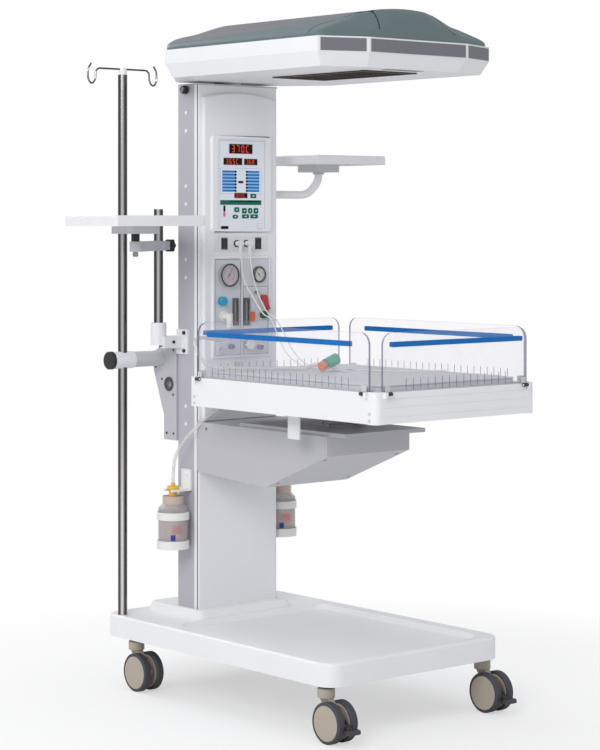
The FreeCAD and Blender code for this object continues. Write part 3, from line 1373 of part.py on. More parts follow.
def make_left_shelf():
    top = shelf_top(left_shelf_x, left_shelf_y, left_shelf_width, left_shelf_length,
                    left_shelf_top, shelf_thickness, 91.0)
    x, y = left_shelf_x, left_shelf_y
    under = left_shelf_top - shelf_thickness
    plate = rounded_block(x - 45.5, x + 45.5, y - 45.5, y + 45.5, under - 20.0, under, 6.0)
    stub = rod((x, y, left_arm_top + 0.3), (0, 0, 1), 22.0, under - 20.0 - left_arm_top)
    shaft = rod((x, y, left_arm_top + 1.0), (0, 0, -1), 12.0, left_arm_top - left_arm_bottom + 14.0)
    mount = join([plate, stub, shaft])
    hexagon = [(x + 8.0 * math.cos(math.radians(60 * k)), y + 8.0 * math.sin(math.radians(60 * k)),
                left_arm_bottom - 12.0) for k in range(6)]
    nut = prism(hexagon, (0, 0, 10.0)).cut(rod((x, y, left_arm_bottom - 13.0), (0, 0, 1), 12.0, 12.0))
    export("left_shelf_top", [top, mount, nut])

    px, py = left_post_x, left_post_y
    dx, dy = x - px, y - py
    length = math.hypot(dx, dy)
    heading = math.degrees(math.atan2(dy, dx))
    bar = box(0, length, -13.0, 13.0, left_arm_bottom, left_arm_top)
    bar.rotate(Vector(0, 0, 0), Vector(0, 0, 1), heading)
    bar.translate(Vector(px, py, 0))
    height = left_arm_top - left_arm_bottom
    hub = rod((px, py, left_arm_bottom), (0, 0, 1), 44.0, height)
    head = rod((x, y, left_arm_bottom), (0, 0, 1), 30.0, height)
    lug = box(px, px + 30.0, py - 11.0, py + 11.0, left_arm_bottom + 2, left_arm_top - 2)
    arm = join([bar, hub, head, lug])
    arm = arm.cut(rod((px, py, left_arm_bottom - 1), (0, 0, 1), left_post_diameter + 2 * running_gap, height + 2))
    arm = arm.cut(rod((x, y, left_arm_bottom - 1), (0, 0, 1), 12.0 + 2 * running_gap, height + 2))
    middle = (left_arm_bottom + left_arm_top) / 2.0
    arm = arm.cut(rod((px + 10, py, middle), (1, 0, 0), 8.0 + 2 * running_gap, 30.0))
    export("left_shelf_arm", [arm])

    start = px + left_post_diameter / 2.0 + 0.3
    screw = rod((start, py, middle), (1, 0, 0), 8.0, 22.0)
    grip = rod((px + 31.0, py, middle), (1, 0, 0), 30.0, 14.0)
    for k in range(6):
        a = math.radians(60 * k)
        grip = join([grip, rod((px + 31.0, py + 13.0 * math.cos(a), middle + 13.0 * math.sin(a)), (1, 0, 0), 10.0, 14.0)])
    export("star_knob", [join([screw, grip])])

    tube = rod((px, py, left_post_bottom), (0, 0, 1), left_post_diameter, left_post_top - left_post_bottom)
    tube = tube.cut(rod((px, py, left_post_bottom - 1), (0, 0, 1), left_post_diameter - 3.0,
                        left_post_top - left_post_bottom - 3.0))
    holder = rod((px, py, left_post_bottom - 4.0), (0, 0, 1), 42.0, 60.0)
    side = -column_half_width
    middle_z = bracket_centre()
    web = box(px, side - 5.0, py - 26.0, py - 2.0, middle_z - 16.0, middle_z + 16.0)
    flange = box(side - 6.0, side, side_hole_y - 14.0, py - 2.0, middle_z - 33.0, middle_z + 33.0)
    holder = join([holder, web, flange])
    holder = holder.cut(rod((px, py, left_post_bottom), (0, 0, 1), left_post_diameter, 80.0))
    screws = []
    for k in (-0.5, 0.5):
        z = middle_z + k * side_hole_spacing
        head = rod((side - 6.0, side_hole_y, z), (-1, 0, 0), 10.0, 4.0)
        holder = holder.cut(rod((side - 7.0, side_hole_y, z), (1, 0, 0), side_hole_diameter, 8.0))
        shank = rod((side - 6.5, side_hole_y, z), (1, 0, 0), side_hole_diameter - 0.5, 16.0)
        screws.append(join([head, shank]))
    screws.append(rod((px + 30.0, py - 26.0, middle_z), (0, -1, 0), 8.0, 3.0))
    export("left_post", [tube, holder])
    return screws


def make_right_shelf():
    x, y = right_shelf_x, right_shelf_y
    top = shelf_top(x, y, right_shelf_width, right_shelf_length, right_shelf_top, right_shelf_thickness, 86.0)
    under = right_shelf_top - right_shelf_thickness
    plate = rounded_block(x - 43.0, x + 43.0, y - 43.0, y + 43.0, under - 20.0, under, 6.0)
    socket = rod((x, y, under - 26.0), (0, 0, 1), right_arm_diameter + 10.0, 7.0)
    bore = rod((x, y, under - 47.0), (0, 0, 1), right_arm_diameter + 2 * running_gap, 43.0)
    export("right_shelf_top", [top, join([plate, socket]).cut(bore)])
    side = column_half_width
    z = right_arm_z
    route = [(side + 4.0, y, z), (x - 40.0, y, z), (x, y, z + 40.0), (x, y, under - 6.0)]
    tube = tube_route(route, right_arm_diameter)
    flange = rod((side + 0.0, y, z), (1, 0, 0), 46.0, 6.0)
    export("right_shelf_arm", [join([tube, flange])])


# Suction bottles

def make_bottles():
    pieces = []
    for side, s in (("left", -1), ("right", 1)):
        x = s * bottle_x
        y = bottle_y
        z = bottle_bottom
        r = bottle_radius
        base = rod((x, y, z), (0, 0, 1), 2 * r + 2, 22.0)
        base = base.cut(rod((x, y, z + 3.0), (0, 0, 1), 2 * r - 4.0, 30.0))
        band = rod((x, y, z + 77.0), (0, 0, 1), 2 * r + 2, 20.0)
        band = band.cut(rod((x, y, z + 76.0), (0, 0, 1), 2 * r - 4.0, 30.0))
        pieces.extend([base, band])
        jar = rod((x, y, z + 3.2), (0, 0, 1), 2 * r - 4.6, 104.0)
        neck = cone((x, y, z + 107.2), (0, 0, 1), 2 * r - 4.6, 56.0, 12.0)
        lid = rod((x, y, z + 119.2), (0, 0, 1), 56.0, 20.0)
        hollow = rod((x, y, z + 6.0), (0, 0, 1), 2 * r - 9.0, 98.0)
        hollow = hollow.fuse(cone((x, y, z + 104.0), (0, 0, 1), 2 * r - 9.0, 50.0, 13.0))
        hollow = hollow.fuse(rod((x, y, z + 117.0), (0, 0, 1), 50.0, 19.0))
        pieces.append(join([jar, neck, lid]).cut(hollow))
        stem = rod((x, y, z + 139.2), (0, 0, 1), 24.0, cap_head_height - 139.2)
        head = rod((x, y, z + cap_head_height), (0, 0, 1), 32.0, 8.0)
        spout = rod((x, y, z + cap_head_height + 7.0), (0, 0, 1), 12.0, 9.0)
        pieces.append(join([stem, head, spout]))
    for s in (-1, 1):
        x = s * bottle_x
        z = bottle_bottom + cap_head_height - seat_gap - 6.0
        wall = s * column_half_width
        xa, xb = sorted((wall, wall + s * 5.0))
        plate = box(xa, xb, bottle_y - 20, bottle_y + 20, z, z + 56.0)
        ya = bottle_y - 22.0
        yb = bottle_y + 22.0
        xc, xd = sorted((wall + s * 4.0, x + s * 16.0))
        fork = box(xc, xd, ya, yb, z, z + 6.0)
        slot = rod((x, bottle_y, z - 1), (0, 0, 1), 25.0, 8.0)
        xe, xf = sorted((x, x + s * 30.0))
        slot = slot.fuse(box(xe, xf, bottle_y - 12.5, bottle_y + 12.5, z - 1, z + 7.0))
        knob = rod((wall + s * 5.0, bottle_y, z + 42.0), (s, 0, 0), 9.0, 2.0)
        pieces.append(join([plate, fork, knob]).cut(slot))
    export("suction_bottles", pieces)


# Cords, hoses and the patient connector

def make_cords():
    export("suction_hose", [tube_route(suction_hose_route, suction_hose_diameter)])
    export("oxygen_hose", [tube_route(oxygen_hose_route, oxygen_hose_diameter)])
    for name, route in (("probe_lead_skin", probe_route_left), ("probe_lead_air", probe_route_right)):
        tip = rod((route[-1][0], route[-1][1], mattress_top + seat_gap), (0, 0, 1), 12.0, 3.6)
        export(name, [join([tube_route(route, probe_lead_diameter), tip])])


def make_patient_connector():
    # A T-piece: the barrel slopes up to its free end and stands on its side port.
    lean = math.radians(connector_lean)
    barrel_radius = connector_diameter / 2.0
    x0, y0 = connector_x, connector_y
    z0 = mattress_top + seat_gap + barrel_radius * math.cos(lean) + 0.4
    along = (math.cos(lean), 0, math.sin(lean))
    orange = rod((x0, y0, z0), along, connector_diameter - 4.0, 10.0)
    clear = rod((x0 + 10.0 * along[0], y0, z0 + 10.0 * along[2]), along, connector_diameter - 8.0, 8.0)
    port = rod((x0 + 14.0 * along[0], y0, z0 + 14.0 * along[2]), (0, 1, 0), 7.0, 18.0)
    clear = join([clear, port])
    barrel = rod((x0 + 18.0 * along[0], y0, z0 + 18.0 * along[2]), along, connector_diameter, connector_length)
    far_end = x0 + 18.0 + connector_length * along[0] - 8.0
    barrel = round_edges(barrel, 3.0, lambda e: e.BoundBox.XMin > far_end and e.Length > 60.0)
    foot_x = x0 + 46.0
    foot_top = z0 + (foot_x - x0) * math.tan(lean)
    foot = rod((foot_x, y0, mattress_top + seat_gap), (0, 0, 1), 14.0, foot_top - mattress_top - seat_gap)
    foot = foot.cut(barrel)
    export("patient_connector", [orange, clear, barrel, foot])


make_casters()
make_base_frame()
make_base_cover()
side_plugs = make_column()
make_lock_knob()
make_fascia()
make_control_panel()
make_socket_strip()
make_gas_panel()
make_gas_controls()
make_hood_shell()
make_hood_dome()
make_hood_carrier()
make_heater()
make_bed_rails()
make_bed_deck()
make_tilt_lever()
make_mattress()
make_walls()
drive_screws = make_tilt_support()
rear_screws = make_rear_housing()
make_handle()
make_pole()
bracket_screws = make_left_shelf()
export("cover_screws", side_plugs + drive_screws + rear_screws + bracket_screws)
make_right_shelf()
make_bottles()
make_cords()
make_patient_connector()
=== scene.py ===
import math
import bmesh
import bpy
from bpy.props import FloatProperty, FloatVectorProperty, IntProperty, PointerProperty
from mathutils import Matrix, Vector


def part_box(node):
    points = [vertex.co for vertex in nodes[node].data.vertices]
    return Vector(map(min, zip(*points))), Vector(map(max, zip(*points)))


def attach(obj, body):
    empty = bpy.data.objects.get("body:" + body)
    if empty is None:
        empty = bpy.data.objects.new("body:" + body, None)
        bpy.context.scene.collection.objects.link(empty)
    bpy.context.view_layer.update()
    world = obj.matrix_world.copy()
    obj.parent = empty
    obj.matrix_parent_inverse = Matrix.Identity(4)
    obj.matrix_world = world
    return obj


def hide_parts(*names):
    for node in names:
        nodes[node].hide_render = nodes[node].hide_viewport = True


bl_info = {
    "name": "Infant warmer dresser",
    "version": (1, 0, 0),
    "blender": (4, 5, 0),
    "location": "View3D > Sidebar > Warmer",
    "description": "Dresses the packed infant warmer with its finishes, soft parts and fine detail",
    "category": "Object",
}

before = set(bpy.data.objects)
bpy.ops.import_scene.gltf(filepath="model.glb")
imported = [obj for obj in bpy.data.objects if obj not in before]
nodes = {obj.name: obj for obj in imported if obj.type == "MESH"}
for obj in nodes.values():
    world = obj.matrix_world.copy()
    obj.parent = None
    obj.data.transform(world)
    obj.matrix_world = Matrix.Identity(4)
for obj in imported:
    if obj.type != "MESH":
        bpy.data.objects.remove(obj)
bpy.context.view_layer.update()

MM = 0.001
WHITE = (1.0, 1.0, 1.0, 1.0)
made_finishes = {}


# Shader expressions

class Signal:
    """A node socket that takes part in Python expressions."""

    def __init__(self, tree, socket):
        self.tree = tree
        self.socket = socket

    def _math(self, operation, first, second):
        return self.tree.node("ShaderNodeMath", {"operation": operation}, {0: first, 1: second})

    def __add__(self, other):
        return self._math("ADD", self, other)

    __radd__ = __add__

    def __mul__(self, other):
        return self._math("MULTIPLY", self, other)

    __rmul__ = __mul__

    def __sub__(self, other):
        return self._math("SUBTRACT", self, other)

    def __rsub__(self, other):
        return self._math("SUBTRACT", other, self)


class Nodes:
    """A node tree, with the one method that adds nodes to it."""

    def __init__(self, tree):
        self.tree = tree

    def set(self, node, key, value):
        if isinstance(value, Signal):
            self.tree.links.new(value.socket, node.inputs[key])
        else:
            node.inputs[key].default_value = value

    def node(self, kind, settings=None, values=None, output=0):
        made = self.tree.nodes.new(kind)
        for key, value in (settings or {}).items():
            setattr(made, key, value)
        for key, value in (values or {}).items():
            self.set(made, key, value)
        return Signal(self, made.outputs[output])

    def seen(self):
        """One for rays from the camera or through clear plastic, zero for light on the object."""
        camera = self.node("ShaderNodeLightPath", None, None, "Is Camera Ray")
        through = self.node("ShaderNodeLightPath", None, None, "Is Transmission Ray")
        return self.node("ShaderNodeMath", {"operation": "MAXIMUM"}, {0: camera, 1: through})


class Finish(Nodes):
    """One material, with its Principled shader and the nodes that feed it."""

    def __init__(self, name, colour, roughness=0.5, metallic=0.0, **sockets):
        self.material = bpy.data.materials.new(name)
        self.material.use_nodes = True
        super().__init__(self.material.node_tree)
        self.shader = self.tree.nodes["Principled BSDF"]
        self.colour = tuple(colour)
        self.feed("Base Color", self.tone(self.colour))
        self.feed("Roughness", roughness)
        self.feed("Metallic", metallic)
        for key, value in sockets.items():
            self.feed(key.replace("_", " "), value)

    def feed(self, key, value):
        self.set(self.shader, key, value)

    def place(self, stretch=None):
        where = self.node("ShaderNodeTexCoord", None, None, "Object")
        if stretch is None:
            return where
        return self.node("ShaderNodeVectorMath", {"operation": "MULTIPLY"}, {0: where, 1: stretch})

    def part(self, vector, name):
        return self.node("ShaderNodeSeparateXYZ", None, {"Vector": vector}, name)

    def clamped(self, value):
        return self.node("ShaderNodeMath", {"operation": "ADD", "use_clamp": True}, {0: value, 1: 0.0})

    def noise(self, scale, detail=2.0, stretch=None):
        return self.node("ShaderNodeTexNoise", None,
                         {"Vector": self.place(stretch), "Scale": scale, "Detail": detail}, "Fac")

    def bands(self, direction, scale):
        return self.node("ShaderNodeTexWave", {"wave_type": "BANDS", "bands_direction": direction},
                         {"Vector": self.place(), "Scale": scale}, "Fac")

    def mix(self, factor, first, second):
        return self.node("ShaderNodeMix", {"data_type": "RGBA"},
                         {"Factor": factor, 6: self.tone(first), 7: self.tone(second)}, 2)

    def tone(self, value):
        return value if isinstance(value, Signal) else tuple(value) + (1.0,)

    def shades(self, factor, amount, colour=None):
        """The colour, a little darker to a little lighter as the factor goes from 0 to 1."""
        colour = colour or self.colour
        darker = [c * (1.0 - amount) for c in colour]
        lighter = [min(1.0, c * (1.0 + amount)) for c in colour]
        return self.mix(factor, darker, lighter)

    def bump(self, height, distance, strength):
        self.feed("Normal", self.node("ShaderNodeBump", None,
                                      {"Strength": strength, "Distance": distance, "Height": height}))

    def vary(self, amount, scale):
        patch = self.noise(scale, 3.0)
        self.feed("Base Color", self.shades(patch, amount))
        return patch


def moulded(name, colour, roughness, coat=0.0, grain=0.00004):
    """Moulded plastic: fine grain, slight colour drift and uneven gloss."""
    f = Finish(name, colour, roughness, Coat_Weight=coat, Coat_Roughness=0.2)
    patch = f.vary(0.03, 9.0)
    fine = f.noise(1400.0)
    f.feed("Roughness", patch * 0.12 + fine * 0.06 + (roughness - 0.09))
    f.bump(fine, grain, 0.35)
    return f


def printed(name, colour, roughness=0.6, shine=0.15):
    """Ink or a dark filter: a matt colour with a trace of mottling."""
    f = Finish(name, colour, roughness, Specular_IOR_Level=shine)
    patch = f.vary(0.04, 30.0)
    f.feed("Roughness", patch * 0.08 + (roughness - 0.04))
    return f


def powder_coat(name, colour, roughness):
    """Powder coat: orange-peel waves over a faint colour drift."""
    f = Finish(name, colour, roughness)
    patch = f.vary(0.025, 5.0)
    peel = f.noise(520.0)
    f.feed("Roughness", patch * 0.1 + peel * 0.1 + (roughness - 0.1))
    f.bump(peel, 0.00006, 0.4)
    return f


def steel(name, colour, roughness, stretch=(1.0, 1.0, 0.02), scale=900.0):
    """Bare steel: drawn lines along the tube and soft smears of roughness."""
    f = Finish(name, colour, roughness, 1.0)
    lines = f.noise(scale, 2.0, stretch)
    smear = f.noise(14.0, 3.0)
    f.feed("Roughness", lines * 0.1 + smear * 0.08 + (roughness - 0.08))
    f.bump(lines, 0.00003, 0.25)
    return f


def tube_with_painted_reflection(name, dark, bright, roughness):
    """Bright tube with a painted reflection: light and dark streaks in the base colour, set by the direction
    each side faces.
    """
    f = Finish(name, bright, roughness, 1.0)
    facing = f.node("ShaderNodeTexCoord", None, None, "Normal")
    reflection_slant = f.part(facing, "X") * PAINTED_REFLECTION_SIDE[0] + f.part(facing, "Y") * PAINTED_REFLECTION_SIDE[1]
    square = reflection_slant * reflection_slant
    painted_reflection = f.clamped((square * square * 8.0 - square * 8.0 + 1.0) * 0.5 + 0.5)
    lines = f.noise(500.0, 2.0, (1.0, 1.0, 0.01))
    # painted reflection: the dark and bright streak colours mixed into the base colour
    f.feed("Base Color", f.mix(painted_reflection * painted_reflection, dark, bright))
    f.feed("Roughness", lines * 0.06 + (roughness - 0.03))
    return f


def clear(name, colour, alpha, roughness=0.06):
    """Clear plastic sheet or tube: faint scratches and uneven thickness."""
    f = Finish(name, colour, roughness, Alpha=alpha, Specular_IOR_Level=0.5)
    haze = f.noise(30.0, 4.0)
    f.feed("Roughness", haze * 0.05 + roughness)
    f.feed("Alpha", haze * 0.05 + (alpha - 0.025))
    return f


def lit(name, colour, strength):
    """A lit segment behind a filter."""
    f = Finish(name, colour, 0.4)
    glow = f.noise(600.0, 1.0)
    f.feed("Emission Color", f.mix(glow, [c * 0.9 for c in colour], colour))
    f.feed("Emission Strength", strength)
    return f


def coated_cloth(name, colour):
    """Coated cloth: a tight weave under a satin film, with soft creases."""
    f = Finish(name, colour, 0.55, Sheen_Weight=0.15, Sheen_Roughness=0.4)
    f.vary(0.04, 14.0)
    weave = f.bands("X", CLOTH_THREADS)
    weft = f.bands("Y", CLOTH_THREADS)
    creases = f.noise(22.0, 4.0, (1.0, 1.6, 1.0))
    f.bump(weave * weft * 0.08 + creases, 0.0012, 0.35)
    return f


def dome_plastic(name, skirt, top):
    """Moulded dome: the skirt's colour below a slanting crease and a greyer top above it."""
    f = moulded(name, skirt, 0.48, 0.0, 0.00008)
    height = f.part(f.place(), "Z") - CREASE_Z
    back = f.part(f.place(), "Y") - CREASE_Y
    above = (height + back * CREASE_SLOPE) * 700.0
    behind = (back - 0.075) * 400.0
    lower = f.shades(f.noise(9.0, 3.0), 0.04, skirt)
    f.feed("Base Color", f.mix(f.clamped(above) * f.clamped(behind), lower, top))
    return f


# Finishes, grouped by maker: each row holds what the maker is given after the name

# fixed side direction that sets where the tube's painted reflection streaks fall
PAINTED_REFLECTION_SIDE = (0.643, 0.766)
CLOTH_THREADS = 420.0
CREASE_Y = -0.70
CREASE_Z = 1.745
CREASE_SLOPE = 0.075

FINISHES = {
    moulded: {
        "fascia_white": ((0.82, 0.82, 0.84), 0.45),
        "shelf_white": ((0.80, 0.80, 0.82), 0.42),
        "trim_grey": ((0.165, 0.165, 0.19), 0.5),
        "seam_dark": ((0.02, 0.025, 0.03), 0.7),
        "black_plastic": ((0.018, 0.018, 0.02), 0.42),
        "dark_grey_plastic": ((0.06, 0.06, 0.068), 0.5),
        "grey_plastic": ((0.36, 0.36, 0.38), 0.45),
        "strip_grey": ((0.73, 0.73, 0.75), 0.42),
        "light_grey_plastic": ((0.60, 0.60, 0.62), 0.45),
        "caster_beige": ((0.43, 0.37, 0.305), 0.45),
        "tyre_grey": ((0.05, 0.049, 0.06), 0.62, 0.0, 0.00012),
        "pedal_grey": ((0.045, 0.046, 0.052), 0.5),
        "quartz_dark": ((0.12, 0.05, 0.035), 0.35),
        "ceramic": ((0.78, 0.76, 0.70), 0.55),
        "lens_frost": ((0.02, 0.02, 0.022), 0.2),
        "knob_blue": ((0.01, 0.33, 0.52), 0.3, 0.3),
        "knob_purple": ((0.12, 0.06, 0.18), 0.35, 0.2),
        "knob_green": ((0.03, 0.10, 0.035), 0.4),
        "knob_white": ((0.80, 0.79, 0.76), 0.35),
        "lever_red": ((0.52, 0.03, 0.025), 0.35, 0.2),
        "float_red": ((0.62, 0.05, 0.02), 0.4),
        "meter_frame": ((0.115, 0.105, 0.11), 0.4),
        "line_dark": ((0.05, 0.05, 0.06), 0.5),
        "dial_pink": ((0.60, 0.42, 0.46), 0.45),
        "dial_white": ((0.80, 0.80, 0.76), 0.4),
        "dial_yellow": ((0.72, 0.58, 0.06), 0.4),
        "dial_green": ((0.05, 0.19, 0.06), 0.4),
        "cap_yellow": ((0.82, 0.50, 0.06), 0.4, 0.2),
        "cap_tan": ((0.56, 0.43, 0.37), 0.4),
        "teal_plastic": ((0.05, 0.36, 0.24), 0.34, 0.2),
        "cap_orange": ((0.78, 0.20, 0.04), 0.4),
        "lead_white": ((0.76, 0.76, 0.74), 0.45),
        "tag_orange": ((0.80, 0.13, 0.04), 0.4),
    },
    powder_coat: {
        "column_white": ((0.82, 0.82, 0.84), 0.4),
        "housing_grey": ((0.50, 0.49, 0.53), 0.42),
        "rail_white": ((0.84, 0.84, 0.85), 0.36),
        "deck_grey": ((0.62, 0.62, 0.65), 0.5),
        "frame_grey": ((0.30, 0.30, 0.32), 0.55),
        "arm_grey": ((0.55, 0.55, 0.58), 0.45),
        "plate_grey": ((0.64, 0.65, 0.69), 0.45),
    },
    steel: {
        "bright_steel": ((0.40, 0.38, 0.37), 0.14),
        "brushed_steel": ((0.42, 0.41, 0.40), 0.3),
        "chrome": ((0.72, 0.72, 0.74), 0.12, (1.0, 1.0, 0.02), 300.0),
        "reflector": ((0.75, 0.70, 0.62), 0.2, (1.0, 0.02, 1.0)),
        "bronze_wire": ((0.075, 0.055, 0.045), 0.4, None),
    },
    tube_with_painted_reflection: {
        # painted reflection: dark and bright colours of the tube's streaks
        "tube_steel": ((0.09, 0.075, 0.072), (0.74, 0.73, 0.73), 0.16),
    },
    clear: {
        "acrylic": ((0.78, 0.76, 0.88), 0.08),
        "acrylic_edge": ((0.15, 0.16, 0.22), 0.78, 0.15),
        "clear_plastic": ((0.80, 0.82, 0.84), 0.30, 0.12),
        "clear_glass": ((0.85, 0.88, 0.90), 0.16, 0.04),
        "jar_plastic": ((0.56, 0.51, 0.51), 0.50, 0.2),
        "hose_clear": ((0.74, 0.74, 0.72), 0.52, 0.22),
    },
    printed: {
        "tick_ink": ((0.02, 0.045, 0.15),),
        "window_black": ((0.016, 0.003, 0.003),),
        "band_blue": ((0.035, 0.17, 0.47),),
        "band_light": ((0.26, 0.52, 0.86),),
        "ink_black": ((0.006, 0.006, 0.008),),
        "ink_pink": ((0.80, 0.16, 0.27),),
        "ink_maroon": ((0.12, 0.006, 0.006),),
        "panel_print": ((0.80, 0.82, 0.88), 0.5, 0.3),
        "key_green": ((0.006, 0.155, 0.098),),
        "key_white": ((0.66, 0.80, 0.76),),
        "jar_red": ((0.62, 0.16, 0.17),),
        "jar_blue": ((0.03, 0.07, 0.26),),
    },
    lit: {
        "led_red": ((0.85, 0.05, 0.02), 0.9),
    },
    coated_cloth: {
        "mattress_cloth": ((0.62, 0.63, 0.65),),
        "piping": ((0.52, 0.53, 0.56),),
    },
}


def make_finishes(tones):
    """Makes the finishes that carry the user's tones, and those of the table above."""
    white = tuple(tones.shell_white)
    chosen = {
        moulded: {"shell_white": (white, 0.38, 0.15), "hood_white": (white, 0.36, 0.2)},
        powder_coat: {"column_grey": (tuple(tones.column_grey), 0.42)},
        dome_plastic: {"dome_green": (tuple(tones.dome_green), (0.17, 0.17, 0.195))},
        printed: {"strip_blue": (tuple(tones.strip_blue), 0.45, 0.25)},
    }
    for table in (chosen, FINISHES):
        for maker, rows in table.items():
            for name, values in rows.items():
                made_finishes[name] = maker(name, *values).material


# Mesh helpers, in millimetres

class Shape:
    """Collects plates, rods and rings and turns them into one piece."""

    def __init__(self, name, body):
        self.name = name
        self.body = body
        self.mesh = bmesh.new()
        self.finishes = []

    def index(self, finish):
        if finish not in self.finishes:
            self.finishes.append(finish)
        return self.finishes.index(finish)

    def skin(self, rings, finish, close_ends=True, loop=False):
        """Faces between rings of points, each ring a closed loop."""
        slot = self.index(finish)
        made = [[self.mesh.verts.new(Vector(p) * MM) for p in ring] for ring in rings]
        pairs = list(zip(made, made[1:]))
        if loop:
            pairs.append((made[-1], made[0]))
        for a, b in pairs:
            for i in range(len(a)):
                j = (i + 1) % len(a)
                self.mesh.faces.new((a[i], a[j], b[j], b[i])).material_index = slot
        if close_ends and not loop:
            self.mesh.faces.new(list(reversed(made[0]))).material_index = slot
            self.mesh.faces.new(made[-1]).material_index = slot

    def prism(self, outline, sweep, finish, bevel=0.0):
        """An outline of 3-D points pushed along a vector, with its far edge bevelled."""
        points = [Vector(p) for p in outline]
        sweep = Vector(sweep)
        if bevel <= 0.0:
            self.skin([points, [p + sweep for p in points]], finish)
            return
        middle = sum(points, Vector()) / len(points)
        step = sweep * ((sweep.length - bevel) / sweep.length)
        inner = []
        for p in points:
            away = p - middle
            inner.append(p + sweep - away.normalized() * bevel if away.length > bevel else p + sweep)
        self.skin([points, [p + step for p in points], inner], finish)

    def plate(self, place, back, height, finish, radius=0.0, bevel=0.0):
        """A plate on a face at Y = back that stands out towards the front; place is x, z, width, tall."""
        x, z, width, tall = place
        points = [(x + u, back, z + v) for u, v in rounded_outline(width, tall, radius)]
        self.prism(points, (0, -height, 0), finish, bevel)

    def plates(self, places, back, height, finish, radius=0.0, bevel=0.0):
        for place in places:
            self.plate(place, back, height, finish, radius, bevel)

    def rod(self, start, end, diameter, finish, sides):
        along = (Vector(end) - Vector(start)).normalized()
        self.skin([circle(Vector(p), along, diameter / 2.0, sides) for p in (start, end)], finish)

    def turned(self, origin, along, profile, finish, sides, ring=False):
        """A turned piece, or a ring: profile is a list of (distance along, radius)."""
        along = Vector(along).normalized()
        rings = [circle(Vector(origin) + along * d, along, r, sides) for d, r in profile]
        self.skin(rings, finish, not ring, ring)

    def done(self, smooth_angle=35.0):
        bmesh.ops.recalc_face_normals(self.mesh, faces=self.mesh.faces)
        data = bpy.data.meshes.new(self.name)
        self.mesh.to_mesh(data)
        self.mesh.free()
        for finish in self.finishes:
            data.materials.append(made_finishes[finish])
        for face in data.polygons:
            face.use_smooth = True
        data.set_sharp_from_angle(angle=math.radians(smooth_angle))
        return place_piece(self.name, data, self.body)


def place_piece(name, data, body):
    """Puts a mesh or a curve into the scene, on the body that carries it."""
    piece = bpy.data.objects.new(name, data)
    bpy.context.scene.collection.objects.link(piece)
    if body:
        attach(piece, body)
    return piece


def curve(name, kind, route, diameter, finish, resolution):
    """A round line along a route in metres."""
    data = bpy.data.curves.new(name, "CURVE")
    data.dimensions = "3D"
    data.bevel_depth = diameter / 2.0
    data.bevel_resolution = resolution
    line = data.splines.new(kind)
    line.points.add(len(route) - 1)
    for point, place in zip(line.points, route):
        point.co = tuple(place) + (1.0,)
    data.materials.append(made_finishes[finish])
    return data


def circle(centre, along, radius, sides):
    side = along.orthogonal().normalized()
    up = along.cross(side)
    turns = [2 * math.pi * k / sides for k in range(sides)]
    return [centre + side * (radius * math.cos(a)) + up * (radius * math.sin(a)) for a in turns]


def rounded_outline(width, height, radius, steps=4):
    """A rectangle round 0, 0, with round corners where the radius is above 0."""
    half_w, half_h = width / 2.0, height / 2.0
    if radius <= 0.0:
        return [(-half_w, -half_h), (half_w, -half_h), (half_w, half_h), (-half_w, half_h)]
    points = []
    for cx, cy, start in ((1, -1, -90), (1, 1, 0), (-1, 1, 90), (-1, -1, 180)):
        for k in range(steps + 1):
            a = math.radians(start + 90.0 * k / steps)
            points.append((cx * (half_w - radius) + radius * math.cos(a),
                           cy * (half_h - radius) + radius * math.sin(a)))
    return points


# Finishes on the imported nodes

def paint(node, base, *rules):
    """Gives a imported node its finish. A rule is (finish, test), the test of a face's centre and normal."""
    data = nodes[node].data
    data.materials.clear()
    data.materials.append(made_finishes[base])
    for finish, test in rules:
        data.materials.append(made_finishes[finish])
    for face in data.polygons:
        centre = face.center / MM
        face.material_index = 0
        for i, (finish, test) in enumerate(rules):
            if test(centre, face.normal):
                face.material_index = i + 1
                break


def near(x, z, reach):
    return lambda p, n: math.hypot(p.x - x, p.z - z) < reach


def around_x(y, z, reach):
    return lambda p, n: math.hypot(p.y - y, p.z - z) < reach


def below(z):
    return lambda p, n: p.z < z


def left_of(x):
    return lambda p, n: p.x < x


# Settings that a user would change

def tone(name, description, default):
    return FloatVectorProperty(name=name, description=description, subtype="COLOR", default=default,
                               min=0, max=1)


def length(name, description, default, least, most):
    return FloatProperty(name=name, description=description, subtype="DISTANCE", default=default,
                         min=least, max=most)


class WarmerTones(bpy.types.PropertyGroup):
    shell_white: tone("Shell white", "Moulded covers and hood shell", (0.83, 0.83, 0.845))
    column_grey: tone("Column grey", "Sides of the column", (0.46, 0.45, 0.50))
    dome_green: tone("Dome green", "Grey-green top of the hood", (0.115, 0.165, 0.175))
    strip_blue: tone("Strip blue", "Grip strips on the clear walls", (0.0, 0.14, 0.46))


class WarmerSizes(bpy.types.PropertyGroup):
    tick_height: length("Tick height", "Height of the scale marks on the walls", 0.028, 0.005, 0.04)
    tick_step: length("Tick step", "Distance between scale marks", 0.0237, 0.01, 0.05)
    mattress_crown: length("Mattress crown", "Rise of the mattress's middle", 0.004, 0.0, 0.01)
    dial_marks: IntProperty(name="Dial marks", description="Marks on the large gauge", default=24,
                            min=6, max=60)


class WARMER_OT_finishes(bpy.types.Operator):
    """Makes every finish that the warmer uses"""
    bl_idname = "warmer.finishes"
    bl_label = "Finishes"

    def execute(self, context):
        make_finishes(context.scene.warmer_tones)
        return {"FINISHED"}


HUB_REACH = 42.9
LEG_TOP = 139.0


